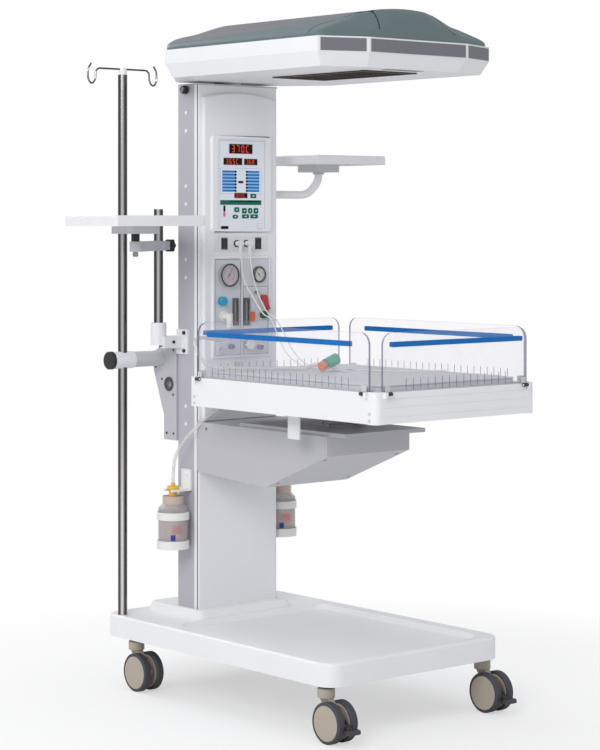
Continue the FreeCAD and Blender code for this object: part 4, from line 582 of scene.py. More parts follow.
class WARMER_OT_base(bpy.types.Operator):
    """Finishes the base, the casters and their pedals"""
    bl_idname = "warmer.base"
    bl_label = "Base and casters"

    def execute(self, context):
        paint("base_cover", "shell_white")
        paint("base_frame", "frame_grey", ("bright_steel", below(LEG_TOP)))
        for node in [name for name in nodes if name.startswith("caster_")]:
            if node.endswith("_fork"):
                paint(node, "caster_beige")
            elif node.endswith("_pedal"):
                paint(node, "pedal_grey")
            else:
                low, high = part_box(node)
                axle = (low + high) / 2.0 / MM
                paint(node, "tyre_grey", ("caster_beige", around_x(axle.y, axle.z, HUB_REACH)))
        return {"FINISHED"}


COLUMN_TOP = 1600.5
SIDE_PLUGS_X = -144.0
FRONT_SCREWS_Y = -20.0
REAR_SCREWS_Y = 90.0
INLET = (118.0, 800.0)
INLET_REACH = 19.5
INLET_SIDE = -140.1
HOOD_LOCK = (43.0, 1588.0)


class WARMER_OT_column(bpy.types.Operator):
    """Finishes the column, its fascia, screws and plugs"""
    bl_idname = "warmer.column"
    bl_label = "Column"

    def execute(self, context):
        inlet = around_x(*INLET, INLET_REACH)
        paint("column_body", "column_grey", ("arm_grey", lambda p, n: p.z > COLUMN_TOP))
        paint("column_front", "column_white")
        paint("fascia", "fascia_white")
        paint("cover_screws", "shelf_white",
              ("black_plastic", left_of(SIDE_PLUGS_X)),
              ("brushed_steel", lambda p, n: p.y < FRONT_SCREWS_Y),
              ("dark_grey_plastic", lambda p, n: p.y > REAR_SCREWS_Y))
        paint("drive_housing", "housing_grey")
        paint("tilt_support", "housing_grey")
        paint("rear_housing", "housing_grey",
              ("dark_grey_plastic", lambda p, n: inlet(p, n) and p.x < INLET_SIDE))
        paint("hood_lock_knob", "black_plastic", ("bright_steel", around_x(*HOOD_LOCK, 4.5)))
        return {"FINISHED"}


# Control panel: a place is x, z, width, tall, and a height is how far it stands out from the panel's face

PANEL_FACE = -16.5
WINDOWS = ((-4, 1432, 79, 25), (-31.5, 1398, 63, 18), (30, 1397.5, 45, 16), (-4, 1307, 44, 13))
READINGS = (("370C", -6, 1432, 17), ("365C", -34, 1398, 12), ("368", 28, 1397.5, 10.5),
            ("045C", -5.5, 1307, 8.5))
BAR_FIELDS = ((-67.0, -20.0, -21.5), (15.0, 60.0, 16.5))
FIELD_Z = 1345.2
FIELD_TALL = 56.6
BARS = 7
BAR_TOP = 1371.0
BAR_STEP = 8.6
BAR_TALL = 4.6
LAMP_SIZE = (6.4, 5.4)
FIELD_LINES = ((-3.5, 1380, 140, 0.8), (-3.5, 1311, 140, 0.8), (-73.5, 1345.5, 0.8, 69),
               (66.5, 1345.5, 0.8, 69))
EDGE_LINES = ((0, 1212, 150, 0.8), (-79, 1332, 0.8, 236), (79, 1332, 0.8, 236), (0, 1453, 158, 0.8))
CORNER_LINES = ((62, 1232, 17, 0.6), (62, 1218, 17, 0.6), (53.8, 1225, 0.6, 14))
KEY_BAND = (-3.5, 1288, 141, 12.5)
PANEL_PRINT = (
    ("ink_maroon", 0.6, 3.1, ((-4, 1343, 18, 6.4),)),
    ("band_light", 0.2, 0.0, FIELD_LINES),
    ("grey_plastic", 0.2, 0.0, EDGE_LINES),
    ("key_green", 0.3, 0.0, (KEY_BAND,)),
    ("ink_black", 0.4, 0.0, ((-3.5, 1292, 80, 3.5), (42, 1292, 36, 3.5))),
    ("ink_black", 0.4, 2.0, ((-60, 1272, 7, 16),)),
    ("ink_pink", 0.4, 3.0, ((-60, 1257, 8, 14),)),
    ("ink_black", 0.8, 3.9, ((-59, 1221, 26, 8),)),
    ("grey_plastic", 0.2, 0.0, CORNER_LINES))
KEYS = ((39, 1306, 19, 11, 2), (-18, 1269, 16, 12, 2), (-23, 1250, 18, 10, 5), (8, 1266, 15, 14, 2.5),
        (28, 1266, 15, 15, 7.4), (48, 1266, 15, 14, 2.5), (12, 1251, 23, 10, 2.5), (42, 1251, 25, 10, 2.5))
SEGMENTS = {"0": "abcdef", "3": "abgcd", "4": "fgbc", "5": "afgcd", "6": "afgcde", "7": "abc",
            "8": "abcdefg", "C": "afed"}
SEGMENT_PLACES = {"a": (0, 0.5), "g": (0, 0), "d": (0, -0.5), "f": (-0.5, 0.25), "b": (0.5, 0.25),
                  "e": (-0.5, -0.25), "c": (0.5, -0.25)}
SOCKET_X = 16.0
SOCKET_Z = 1178.0
ROCKER_X = 58.0
STRIP_FACE = -14.0
ROCKER_FRAME = ((-9.2, 0, 2.2, 31), (9.2, 0, 2.2, 31), (0, 14.6, 18, 2.2), (0, -14.6, 18, 2.2))


def digits(shape, text, x, z, tall, back):
    """Seven-segment digits, centred at x, z."""
    width = tall * 0.46
    step = width * 2.1
    bar = tall * 0.085
    start = x - step * (len(text) - 1) / 2.0
    for i, mark in enumerate(text):
        for name in SEGMENTS[mark]:
            u, v = SEGMENT_PLACES[name]
            size = (bar, tall * 0.4) if u else (width * 0.86, bar)
            shape.plate((start + i * step + u * width, z + v * tall) + size, back, 0.3, "led_red")


def stands_out(*heights):
    """True for faces at one of these heights over the control panel's face."""
    return lambda p: any(abs(p.y - PANEL_FACE + height) < 0.05 for height in heights)


class WARMER_OT_control_panel(bpy.types.Operator):
    """Finishes the control panel and adds its displays, bars and keys"""
    bl_idname = "warmer.control_panel"
    bl_label = "Control panel"

    def execute(self, context):
        on_key, on_window = stands_out(1.0, 0.5), stands_out(0.8, 0.4)
        paint("control_unit", "fascia_white",
              ("key_green", lambda p, n: abs(p.x) < 60.0 and on_key(p)),
              ("window_black", lambda p, n: abs(p.x) < 65.0 and on_window(p)),
              ("panel_print", lambda p, n: p.y > PANEL_FACE - 1.5 and abs(p.x) < 81.2))
        self.print_panel(Shape("control_panel_print", "stand"))

        def in_socket(p):
            return abs(abs(p.x) - SOCKET_X) < 9.45 and abs(p.z - SOCKET_Z) < 9.45
        paint("socket_strip", "strip_grey",
              ("lead_white", lambda p, n: p.y < -16.55 and abs(abs(p.x) - SOCKET_X) < 8.0),
              ("black_plastic", lambda p, n: p.y > -16.55 and in_socket(p)),
              ("black_plastic", lambda p, n: 48.0 < abs(p.x) < 68.0 and p.y > -12.1))
        for side, x in (("left", -ROCKER_X), ("right", ROCKER_X)):
            paint("rocker_" + side, "black_plastic")
            edges = Shape("rocker_frame_" + side, "stand")
            places = [(x + dx, SOCKET_Z + dz, w, h) for dx, dz, w, h in ROCKER_FRAME]
            edges.plates(places, STRIP_FACE, 1.0, "black_plastic")
            edges.done()
        return {"FINISHED"}

    def print_panel(self, trim):
        for x, z, w, h in WINDOWS:
            trim.plate((x, z, w + 3, h + 3), PANEL_FACE, 0.6, "light_grey_plastic", 2.0)
            trim.plate((x, z, w, h), PANEL_FACE, 1.2, "window_black", 1.0, 0.3)
        for reading in READINGS:
            digits(trim, *reading, PANEL_FACE - 1.0)
        for left, right, lamp in BAR_FIELDS:
            middle, width = (left + right) / 2.0, right - left
            trim.plate((middle, FIELD_Z, width, FIELD_TALL), PANEL_FACE, 0.15, "band_light")
            for k in range(BARS):
                z = BAR_TOP - k * BAR_STEP
                trim.plate((middle, z, width, BAR_TALL), PANEL_FACE, 0.3, "band_blue")
                trim.plate((lamp, z) + LAMP_SIZE, PANEL_FACE, 0.6, "ink_black", 2.5)
        for finish, height, radius, places in PANEL_PRINT:
            trim.plates(places, PANEL_FACE, height, finish, radius)
        for x, z, w, h, radius in KEYS:
            trim.plate((x, z, w + 0.6, h + 0.6), PANEL_FACE, 1.3, "key_green", radius, 0.3)
            trim.plate((x, z, w * 0.3, h * 0.3), PANEL_FACE, 1.5, "key_white", h * 0.14)
        trim.done()


# Gas panel: places as on the control panel

GAS_FACE = -16.0
LEFT_GAUGE = (-51.0, 1094.0)
RIGHT_GAUGE = (58.0, 1094.0)
LEFT_DIAL_Y = -25.2
RIGHT_DIAL_Y = -17.6
METERS = (-22.0, 16.0)
METER_Y = -15.0
DIAL_START = 225
DIAL_SWEEP = 270
PRINT_HEIGHT = 0.15
METER_FOOT = 965.0
METER_TOP = 1025.0
SCALE_MARKS = 11
SCALE_STEP = 5.0
SCALE_SIDE = 7.6
SIDE_TUBE = (26.5, 1006.0, 4.0, 90)
TAG = (36.0, 981.0, 13.0, 27)
TAG_CORD_TOP = 1046.0
ELBOW = (-62.0, 975.0)
GREEN_CAP = (72.0, 985.0)
LEVER_AXLE = (48.0, 1046.0)
GAS_LINES = ((-47.8, 1136.0, 88, 1.0), (-47.8, 880.0, 88, 1.0), (-91.0, 1008.0, 1.0, 256),
             (-4.6, 1008.0, 1.0, 256), (47.8, 1062.0, 86, 1.0), (5.0, 971.0, 1.0, 182),
             (90.6, 971.0, 1.0, 182), (47.8, 880.5, 86, 1.0))
RIM_PROFILE = ((0.1, 27.0), (0.2, 30.6), (0.9, 31.0), (1.5, 30.4), (1.6, 28.4), (0.9, 27.2))


def dial(shape, centre, radius, front, face, marks):
    """A gauge face with its scale marks."""
    x, z = centre
    shape.rod((x, front + 0.4, z), (x, front, z), 2 * radius, face, 48)
    base = Vector((x, front, z))
    for k in range(marks + 1):
        a = math.radians(DIAL_START - DIAL_SWEEP * k / marks)
        long = 3.0 if k % 4 == 0 else 1.6
        across = Vector((-math.sin(a), 0, math.cos(a))) * 0.25
        along = Vector((math.cos(a), 0, math.sin(a)))
        outer = base + along * (radius - 1.5)
        inner = base + along * (radius - 1.5 - long)
        shape.prism([inner - across, outer - across, outer + across, inner + across],
                    (0, -PRINT_HEIGHT, 0), "line_dark")


def arc_band(shape, centre, inner, outer, front, finish, start, sweep, steps=20):
    """A printed arc on a gauge face."""
    x, z = centre
    back = front - PRINT_HEIGHT
    rings = []
    for k in range(steps + 1):
        a = math.radians(start - sweep * k / steps)
        corners = ((inner, front), (outer, front), (outer, back), (inner, back))
        rings.append([(x + r * math.cos(a), y, z + r * math.sin(a)) for r, y in corners])
    shape.skin(rings, finish)


class WARMER_OT_gas_panel(bpy.types.Operator):
    """Finishes the gas panel and adds dials, outlines, scales and tags"""
    bl_idname = "warmer.gas_panel"
    bl_label = "Gas panel"

    def execute(self, context):
        paint("gas_panel", "fascia_white", ("plate_grey", lambda p, n: self.on_plate(p)))
        self.paint_fittings()
        for side in ("left", "right"):
            paint("gauge_needle_" + side, "line_dark")
            paint("flow_knob_" + side, "knob_purple")
        paint("blender_knob", "knob_blue")
        paint("suction_knob", "knob_white", ("black_plastic", lambda p, n: p.y > -22.0))
        paint("suction_lever", "lever_red")
        dials = Shape("gauge_dials", "stand")
        dial(dials, LEFT_GAUGE, 26.6, LEFT_DIAL_Y, "dial_pink", context.scene.warmer_sizes.dial_marks)
        arc_band(dials, LEFT_GAUGE, 17.0, 18.2, LEFT_DIAL_Y, "line_dark", DIAL_START, DIAL_SWEEP, 30)
        dial(dials, RIGHT_GAUGE, 17.6, RIGHT_DIAL_Y, "dial_white", 16)
        arc_band(dials, RIGHT_GAUGE, 10.5, 13.4, RIGHT_DIAL_Y, "dial_green", 215, 110)
        arc_band(dials, RIGHT_GAUGE, 10.5, 13.4, RIGHT_DIAL_Y, "dial_yellow", 100, 120)
        dials.done()
        lines = Shape("gas_panel_print", "stand")
        lines.plates(GAS_LINES, GAS_FACE, PRINT_HEIGHT, "line_dark")
        for x in METERS:
            for k in range(SCALE_MARKS):
                mark = (x + SCALE_SIDE, METER_FOOT + (k + 1) * SCALE_STEP, 2.6 if k % 5 else 4.0, 0.5)
                lines.plate(mark, GAS_FACE - 4.0, 0.2, "dial_white")
        lines.plate(SIDE_TUBE, GAS_FACE, 3.0, "clear_plastic", 1.8)
        lines.plate(TAG, GAS_FACE - 2.0, 3.0, "tag_orange", 3.0, 0.8)
        x, y = TAG[0], GAS_FACE - 3.0
        lines.rod((x, y, TAG[1] + TAG[3] / 2.0 - 0.5), (x, y, TAG_CORD_TOP), 4.0, "clear_plastic", 12)
        lines.done()
        rims = Shape("gauge_rims", "stand")
        x, z = LEFT_GAUGE
        rims.turned((x, -30.8, z), (0, -1, 0), RIM_PROFILE, "line_dark", 64, True)
        rims.done()
        return {"FINISHED"}

    def on_plate(self, p):
        return abs(p.x) < 94.0 and 878.0 < p.z < 1138.0 and p.y > GAS_FACE - 0.05

    def paint_fittings(self):
        left_gauge = near(*LEFT_GAUGE, 31.5)
        right_gauge = near(*RIGHT_GAUGE, 22.5)

        def beside(p):
            return min(abs(p.x - x) for x in METERS)

        def in_tube(p, n):
            return beside(p) < 4.6 and METER_FOOT < p.z < METER_TOP and p.y < -10.4
        paint("gas_fittings", "light_grey_plastic",
              ("clear_glass", lambda p, n: left_gauge(p, n) and abs(p.y + 30.1) < 0.75),
              ("clear_glass", lambda p, n: right_gauge(p, n) and abs(p.y + 22.1) < 0.75),
              ("chrome", left_gauge),
              ("line_dark", right_gauge),
              ("float_red", lambda p, n: in_tube(p, n) and math.hypot(beside(p), p.y - METER_Y) < 2.75),
              ("clear_glass", in_tube),
              ("meter_frame", lambda p, n: beside(p) < 10.0 and METER_FOOT - 8.0 < p.z < METER_TOP + 8.0),
              ("knob_white", near(*ELBOW, 30.0)),
              ("knob_green", near(*GREEN_CAP, 11.0)),
              ("brushed_steel", near(*LEVER_AXLE, 6.0)))


# Hood: a rise from a side of the dome inwards is a sum of (share, run, power), and no power makes it round

HOOD_HALF = 288.0
HOOD_FRONT = -710.0
HOOD_BACK = 112.0
FRONT_HALF = 165.0
REAR_HALF = 150.0
SIDE_FRONT = -664.0
SIDE_BACK = -58.0
TRIM_LOW = 1645.8
TRIM_HIGH = 1677.5
HEATER_Z = 1640.0
GUARD_TOP = 1610.6
DOME_BASE = 1681.2
DOME_EDGE = 8.0
DOME_SHOULDER = 60.0
DOME_ARCH = 24.0
DOME_INSETS = (5.0, 8.0, 13.0, 20.0, 29.0, 40.0, 53.0, 68.0, 85.0, 104.0, 124.0)
DOME_SHARES = (0.12, 0.26, 0.42, 0.6, 0.8, 0.96)
SLOPE_BLEND = 0.03
FRONT_RISE = ((1.0, 62.0, None),)
CORNER_RISE = ((0.98, 78.0, 0.85), (0.02, 200.0, 1.0))
SIDE_RISE = ((1.0, 158.0, 0.82),)
REAR_RISE = ((0.55, 34.0, None), (0.25, 90.0, 0.9), (0.2, 178.0, 1.0))
REAR_CORNER_RISE = ((0.5, 40.0, None), (0.5, 150.0, 0.9))
DOME_RISES = (FRONT_RISE, CORNER_RISE, SIDE_RISE, REAR_CORNER_RISE, REAR_RISE, REAR_CORNER_RISE, SIDE_RISE,
              CORNER_RISE)
FRONT_SEAM = ((128, -706), (122, -700), (114, -688), (107, -674), (103, -660), (100, -645))
SIDE_SEAM = ((284, -610), (281, -618), (268, -612), (240, -594), (212, -584), (184, -594),
             (154, -612), (126, -631), (100, -645))
CROSS_SEAM = ((-100, -645), (-60, -636), (0, -633), (60, -636), (100, -645))


def hood_corners(inset):
    w, f, r = HOOD_HALF - inset, FRONT_HALF - 0.45 * inset, REAR_HALF - 0.45 * inset
    yf, ys = HOOD_FRONT + inset, SIDE_FRONT + 0.45 * inset
    yb, yr = SIDE_BACK - 0.45 * inset, HOOD_BACK - inset
    corners = ((-f, yf), (f, yf), (w, ys), (w, yb), (r, yr), (-r, yr), (-w, yb), (-w, ys))
    return [Vector(corner) for corner in corners]


def hood_outline(inset, corner=26.0, parts=10):
    """The hood's eight-sided plan with rounded corners and evenly split sides."""
    corners = hood_corners(inset)
    points = []
    for i, here in enumerate(corners):
        before, after, second = corners[i - 1], corners[(i + 1) % 8], corners[(i + 2) % 8]
        run = min(corner, (before - here).length * 0.4, (after - here).length * 0.4)
        a = here + (before - here).normalized() * run
        b = here + (after - here).normalized() * run
        for k in range(5):
            t = k / 4.0
            points.append(a * (1 - t) ** 2 + here * (2 * t * (1 - t)) + b * t ** 2)
        next_run = min(corner, (here - after).length * 0.4, (second - after).length * 0.4)
        end = after + (here - after).normalized() * next_run
        points.extend(b.lerp(end, k / parts) for k in range(1, parts))
    return points


def rise(t, power):
    return min(1.0, max(0.0, t)) ** power


def rounded_rise(t):
    return math.sqrt(1.0 - (1.0 - rise(t, 1.0)) ** 2)


def side_slope(terms, d):
    """Share of the dome's height at a distance d in from a side."""
    total = 0.0
    for share, run, power in terms:
        total += share * (rise(d / run, power) if power else rounded_rise(d / run))
    return total


def dome_height(x, y):
    """Height of the dome's skin: every side has its own slope, and the lowest one counts."""
    corners = hood_corners(3.0)
    slopes = []
    for i, a in enumerate(corners):
        along = (corners[(i + 1) % 8] - a).normalized()
        d = max(0.0, (Vector((x, y)) - a).dot(Vector((-along.y, along.x))))
        slopes.append(side_slope(DOME_RISES[i], d))
    low = min(slopes)
    share = max(0.0, low - SLOPE_BLEND * math.log(sum(math.exp(-(v - low) / SLOPE_BLEND) for v in slopes)))
    arch = DOME_ARCH * max(0.0, 1.0 - (x / FRONT_HALF) ** 2) * rise(low, 2.0)
    return DOME_BASE + DOME_EDGE * rise(low * 9.0, 1.0) + (DOME_SHOULDER - DOME_EDGE) * share + arch


def dome_rings():
    rings = []
    for inset, lift in ((3.4, 0.0), (3.2, 6.0)):
        rings.append([(p.x, p.y, DOME_BASE + lift) for p in hood_outline(inset)])
    for inset in DOME_INSETS:
        outline = hood_outline(inset)
        rings.append([(p.x, p.y, max(DOME_BASE + 6.5, dome_height(p.x, p.y))) for p in outline])
    core = hood_outline(DOME_INSETS[-1])
    for share in DOME_SHARES:
        ring = []
        for p in core:
            spine = min(-60.0, max(-540.0, p.y))
            x, y = p.x * (1.0 - share), p.y + (spine - p.y) * share
            ring.append((x, y, dome_height(x, y)))
        rings.append(ring)
    return rings


def seam_strip(shape, route, width):
    """A narrow dark line that follows the dome's skin."""
    places = [Vector(p) for p in route]
    fine = []
    for a, b in zip(places, places[1:]):
        steps = max(2, int((b - a).length / 6.0))
        fine.extend(a.lerp(b, k / steps) for k in range(steps))
    fine.append(places[-1])
    rings = []
    for i, here in enumerate(fine):
        along = (fine[min(i + 1, len(fine) - 1)] - fine[max(i - 1, 0)]).normalized()
        side = Vector((-along.y, along.x)) * (width / 2.0)
        ring = []
        for offset, lift in ((side, -1.5), (side, 0.35), (-side, 0.35), (-side, -1.5)):
            q = here + offset
            ring.append((q.x, q.y, max(DOME_BASE + 1.0, dome_height(q.x, q.y) + lift)))
        rings.append(ring)
    shape.skin(rings, "seam_dark")


def on_trim():
    """True for the faces of the dark panels that stand out round the hood's front."""
    corner = Vector((-HOOD_HALF, SIDE_FRONT))
    run = (Vector((-FRONT_HALF, HOOD_FRONT)) - corner).normalized()
    outward = Vector((run.y, -run.x))

    def test(p, n):
        side = (Vector((-abs(p.x), p.y)) - corner).dot(outward)
        return TRIM_LOW < p.z < TRIM_HIGH and (p.y < HOOD_FRONT - 0.05 or side > 0.05)
    return test


class WARMER_OT_hood(bpy.types.Operator):
    """Finishes the hood, its heater and carrier, and makes the moulded dome"""
    bl_idname = "warmer.hood"
    bl_label = "Hood"

    def execute(self, context):
        paint("hood_shell", "hood_white", ("trim_grey", on_trim()))
        paint("hood_carrier", "brushed_steel")
        paint("heater_unit", "reflector",
              ("lens_frost", lambda p, n: p.y < -620.0),
              ("bronze_wire", below(GUARD_TOP)),
              ("quartz_dark", near(0.0, HEATER_Z, 7.3)),
              ("ceramic", near(0.0, HEATER_Z, 11.5)))
        dome = Shape("hood_dome_cover", "hood")
        dome.skin(dome_rings(), "dome_green")
        piece = dome.done(40.0)
        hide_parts("hood_dome")
        seam = Shape("dome_seams", "hood")
        edge = ((4.2, 1681.0), (4.2, 1682.4), (10.0, 1682.4), (10.0, 1681.0))
        rings = [[(p.x, p.y, z) for p in hood_outline(inset)] for inset, z in edge]
        seam.skin(rings, "seam_dark", False, True)
        for side in (-1, 1):
            for route, width in ((FRONT_SEAM, 3.2), (SIDE_SEAM, 2.2)):
                seam_strip(seam, [(side * x, y) for x, y in route], width)
        seam_strip(seam, CROSS_SEAM, 2.0)
        seam.done()
        return {"FINISHED"}


# Clear walls: where the outer face of each lies, and the middle of its length

WALL_OUTER = {"left": -262.0, "right": 262.0, "front": -842.0, "rear": -135.0}
WALL_MIDDLE = {"left": -477.0, "right": -499.0, "front": 5.0, "rear": -4.0}
WALL_THICK = 6.0
WALL_FOOT = 842.0
TICK_HALF = 0.8
STRIP_Z = 950.0
STRIP_TALL = 12.0


class WARMER_OT_bed(bpy.types.Operator):
    """Finishes the rails, deck, clear walls and tilt lever, and adds scale marks and grip strips"""
    bl_idname = "warmer.bed"
    bl_label = "Bed and walls"

    def execute(self, context):
        paint("bed_rails", "rail_white",
              ("light_grey_plastic", lambda p, n: abs(p.x) > 266.02 and p.z < 800.0))
        paint("bed_deck", "deck_grey")
        paint("tilt_release_lever", "shelf_white")
        sizes = context.scene.warmer_sizes
        for side in WALL_OUTER:
            self.wall(side, sizes.tick_step / MM, sizes.tick_height / MM)
        return {"FINISHED"}

    def wall(self, side, step, height):
        along_y = side in ("left", "right")
        outer, centre = WALL_OUTER[side], WALL_MIDDLE[side]
        sign = -1.0 if side in ("left", "front") else 1.0
        inner = outer - sign * WALL_THICK
        middle = (outer + inner) / 2.0
        body = "wall_" + side if side != "rear" else "bed"

        def off_middle(p):
            return abs((p.x if along_y else p.y) - middle)

        def at(across, along, z):
            return (across, along, z) if along_y else (along, across, z)
        paint("wall_" + side, "acrylic_edge",
              ("black_plastic", lambda p, n: off_middle(p) > 8.0 and abs(p.z - 835.5) < 5.0),
              ("light_grey_plastic", lambda p, n: off_middle(p) > 3.02 or p.z < WALL_FOOT - 1.1),
              ("acrylic", lambda p, n: abs(n.x if along_y else n.y) > 0.9))
        marks = Shape("wall_marks_" + side, body)
        count = int((522.0 if along_y else 350.0) / step) + 1
        for k in range(count):
            mark = centre + (k - (count - 1) / 2.0) * step
            corners = ((-TICK_HALF, 0.0), (TICK_HALF, 0.0), (TICK_HALF, height), (-TICK_HALF, height))
            outline = [at(inner - sign * 0.05, mark + u, WALL_FOOT + v) for u, v in corners]
            marks.prism(outline, at(-sign * PRINT_HEIGHT, 0, 0), "tick_ink")
        marks.done()
        strip = Shape("grip_strip_" + side, body)
        run = 546.0 if along_y else 436.0
        for face, push in ((outer + sign * 0.02, sign * 3.0), (inner - sign * 0.02, -sign * 3.0)):
            outline = [at(face, centre + u, STRIP_Z + v) for u, v in rounded_outline(run, STRIP_TALL, 2.0)]
            strip.prism(outline, at(push, 0, 0), "strip_blue", 1.2)
        strip.done()


# Mattress

VOXEL = 0.006
PUFF_FRAMES = 20
PUFF_CAP = 0.0028
PUFF_PRESSURE = 4.0
SKIN = Vector((0.5, 0.5, 0.2))
PAD_CORNER = 24.0
PAD_LEVELS = ((0.0, 9.0), (3.0, 3.0), (9.0, 0.6), (20.0, 1.8), (28.0, 2.4), (37.0, 1.6), (46.0, 0.6),
              (51.0, 3.4), (53.2, 9.0))
SEAM_LEVELS = (("upper", 50.2, 2.2), ("lower", 4.0, 2.0))
SEAM_REACH = 3.2
PIPING = 0.0028
TOP_RINGS = 14
TOP_INSET = 9.0
TOP_DROP = 2.2
TOP_ROUND = 1.8
WAVES = 5
WAVE_DEPTH = 0.8


def as_mesh(piece):
    graph = bpy.context.evaluated_depsgraph_get()
    return bpy.data.meshes.new_from_object(piece.evaluated_get(graph))


def puff(piece, held, low, high):
    """Blows a padded piece up with the cloth solver, its seams held, and caps how far it moves."""
    even = piece.modifiers.new("even", "REMESH")
    even.mode = "VOXEL"
    even.voxel_size = VOXEL
    slots = list(piece.data.materials)
    mesh = as_mesh(piece)
    piece.modifiers.clear()
    piece.data = mesh
    mesh.materials.clear()
    for material in slots:
        mesh.materials.append(material)
    start = [v.co.copy() for v in mesh.vertices]
    seam = piece.vertex_groups.new(name="seam")
    seam.add([v.index for v in mesh.vertices if held(v.co / MM)], 1.0, "REPLACE")
    cloth = piece.modifiers.new("cloth", "CLOTH")
    cloth.settings.vertex_group_mass = "seam"
    cloth.settings.use_pressure = True
    cloth.settings.uniform_pressure_force = PUFF_PRESSURE
    cloth.settings.effector_weights.gravity = 0.0
    cloth.point_cache.frame_start = 1
    cloth.point_cache.frame_end = PUFF_FRAMES
    for frame_number in range(1, PUFF_FRAMES + 1):
        bpy.context.scene.frame_set(frame_number)
    blown = as_mesh(piece)
    least, most = (low + SKIN) * MM, (high - SKIN) * MM
    for vertex, before, after in zip(mesh.vertices, start, blown.vertices):
        move = after.co - before
        if move.length > PUFF_CAP:
            move *= PUFF_CAP / move.length
        vertex.co = [min(max(value, a), b) for value, a, b in zip(before + move, least, most)]
    piece.modifiers.clear()
    piece.vertex_groups.clear()
    bpy.data.meshes.remove(blown)
    bpy.context.scene.frame_set(1)
    for polygon in mesh.polygons:
        polygon.use_smooth = True


class WARMER_OT_mattress(bpy.types.Operator):
    """Makes the crowned mattress with its piped seams"""
    bl_idname = "warmer.mattress"
    bl_label = "Mattress"

    def execute(self, context):
        crown = context.scene.warmer_sizes.mattress_crown / MM
        low, high = (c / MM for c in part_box("mattress"))
        middle = (low + high) / 2.0
        half = Vector(((high.x - low.x) / 2.0 - 1.0, (high.y - low.y) / 2.0 - 1.0, 0))
        bottom, top = low.z + 0.2, high.z
        slack = PUFF_CAP / MM * 0.8
        rings = []
        for height, inset in PAD_LEVELS:
            side = slack * 0.5 if 5.0 < height < 49.0 else 0.0
            rings.append(self.ring(middle, half, inset + side, bottom + height))
        for k in range(1, TOP_RINGS):
            t = k / TOP_RINGS
            level = top - TOP_DROP - slack - crown + (crown + TOP_ROUND) * math.sin(t * math.pi / 2.0)
            rings.append(self.ring(middle, half, TOP_INSET + t * (half.x - TOP_INSET - 1.0), level))
        pad = Shape("mattress_pad", "bed")
        pad.skin(rings, "mattress_cloth")
        piece = pad.done(60.0)

        def on_seam(p):
            edge = abs(p.x - middle.x) > half.x - 8.0 or abs(p.y - middle.y) > half.y - 8.0
            return edge and any(abs(p.z - bottom - level[1]) < SEAM_REACH for level in SEAM_LEVELS)
        puff(piece, on_seam, low, high)
        smooth = piece.modifiers.new("smooth", "SUBSURF")
        smooth.levels = 1
        smooth.render_levels = 1
        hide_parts("mattress")
        for name, height, inset in SEAM_LEVELS:
            route = [p * MM for p in self.ring(middle, half, inset, bottom + height)]
            data = curve("mattress_piping_" + name, "POLY", route, PIPING, "piping", 2)
            data.splines[0].use_cyclic_u = True
            place_piece(data.name, data, "bed")
        return {"FINISHED"}

    def ring(self, middle, half, inset, z):
        """One level of the pad's outline; on the pad's sides, each straight run has shallow waves."""
        width, long = 2 * (half.x - inset), 2 * (half.y - inset)
        radius = max(3.0, min(PAD_CORNER, width * 0.45))
        outline = rounded_outline(width, long, radius, 5)
        depth = WAVE_DEPTH if inset < TOP_INSET - 1.0 else 0.0
        points = []
        for i, (u, v) in enumerate(outline):
            points.append(Vector((middle.x + u, middle.y + v, z)))
            if (i + 1) % 6:
                continue
            nu, nv = outline[(i + 1) % len(outline)]
            away = Vector((nv - v, u - nu, 0)).normalized()
            for k in range(1, 10):
                t = k / 10.0
                sag = away * abs(depth * math.sin(t * math.pi * WAVES))
                points.append(Vector((middle.x + u + (nu - u) * t, middle.y + v + (nv - v) * t, z)) - sag)
        return points


# Cords: the same route points as in the part's source, in metres

SUCTION_HOSE = [(-0.186, 0.043, 0.545), (-0.186, 0.043, 0.600), (-0.182, 0.018, 0.645),
                (-0.162, -0.012, 0.685), (-0.120, -0.024, 0.722), (-0.060, -0.026, 0.748),
                (-0.030, -0.027, 0.780), (-0.030, -0.027, 0.829)]
OXYGEN_HOSE = [(-0.062, -0.042, 0.966), (-0.062, -0.042, 0.938), (-0.104, -0.066, 0.922),
               (-0.160, -0.098, 0.930), (-0.212, -0.112, 0.938), (-0.250, -0.128, 0.930),
               (-0.251, -0.150, 0.902), (-0.246, -0.162, 0.878), (-0.224, -0.184, 0.8616),
               (-0.180, -0.224, 0.8614), (-0.130, -0.266, 0.8615), (-0.078, -0.304, 0.8614),
               (-0.046, -0.340, 0.8616), (-0.050, -0.366, 0.868), (-0.0588, -0.386, 0.875),
               (-0.0588, -0.4066, 0.875)]
SKIN_LEAD = [(-0.016, -0.031, 1.1518), (-0.018, -0.038, 1.110), (-0.022, -0.058, 1.070),
             (-0.016, -0.090, 1.030), (-0.012, -0.124, 0.988), (-0.010, -0.148, 0.986),
             (0.002, -0.164, 0.940), (0.014, -0.188, 0.885), (0.026, -0.236, 0.8582),
             (0.024, -0.290, 0.8579), (0.008, -0.345, 0.8579), (-0.008, -0.395, 0.8579),
             (-0.004, -0.446, 0.8579)]
AIR_LEAD = [(0.016, -0.031, 1.1518), (0.015, -0.038, 1.112), (0.010, -0.058, 1.072),
            (0.004, -0.088, 1.032), (0.004, -0.122, 0.990), (0.008, -0.148, 0.987),
            (0.024, -0.166, 0.940), (0.040, -0.186, 0.890), (0.052, -0.222, 0.859),
            (0.062, -0.272, 0.8579), (0.060, -0.330, 0.8579), (0.050, -0.390, 0.8579),
            (0.056, -0.448, 0.8579), (0.076, -0.505, 0.8579), (0.112, -0.550, 0.8579),
            (0.168, -0.575, 0.8579), (0.205, -0.585, 0.8579)]


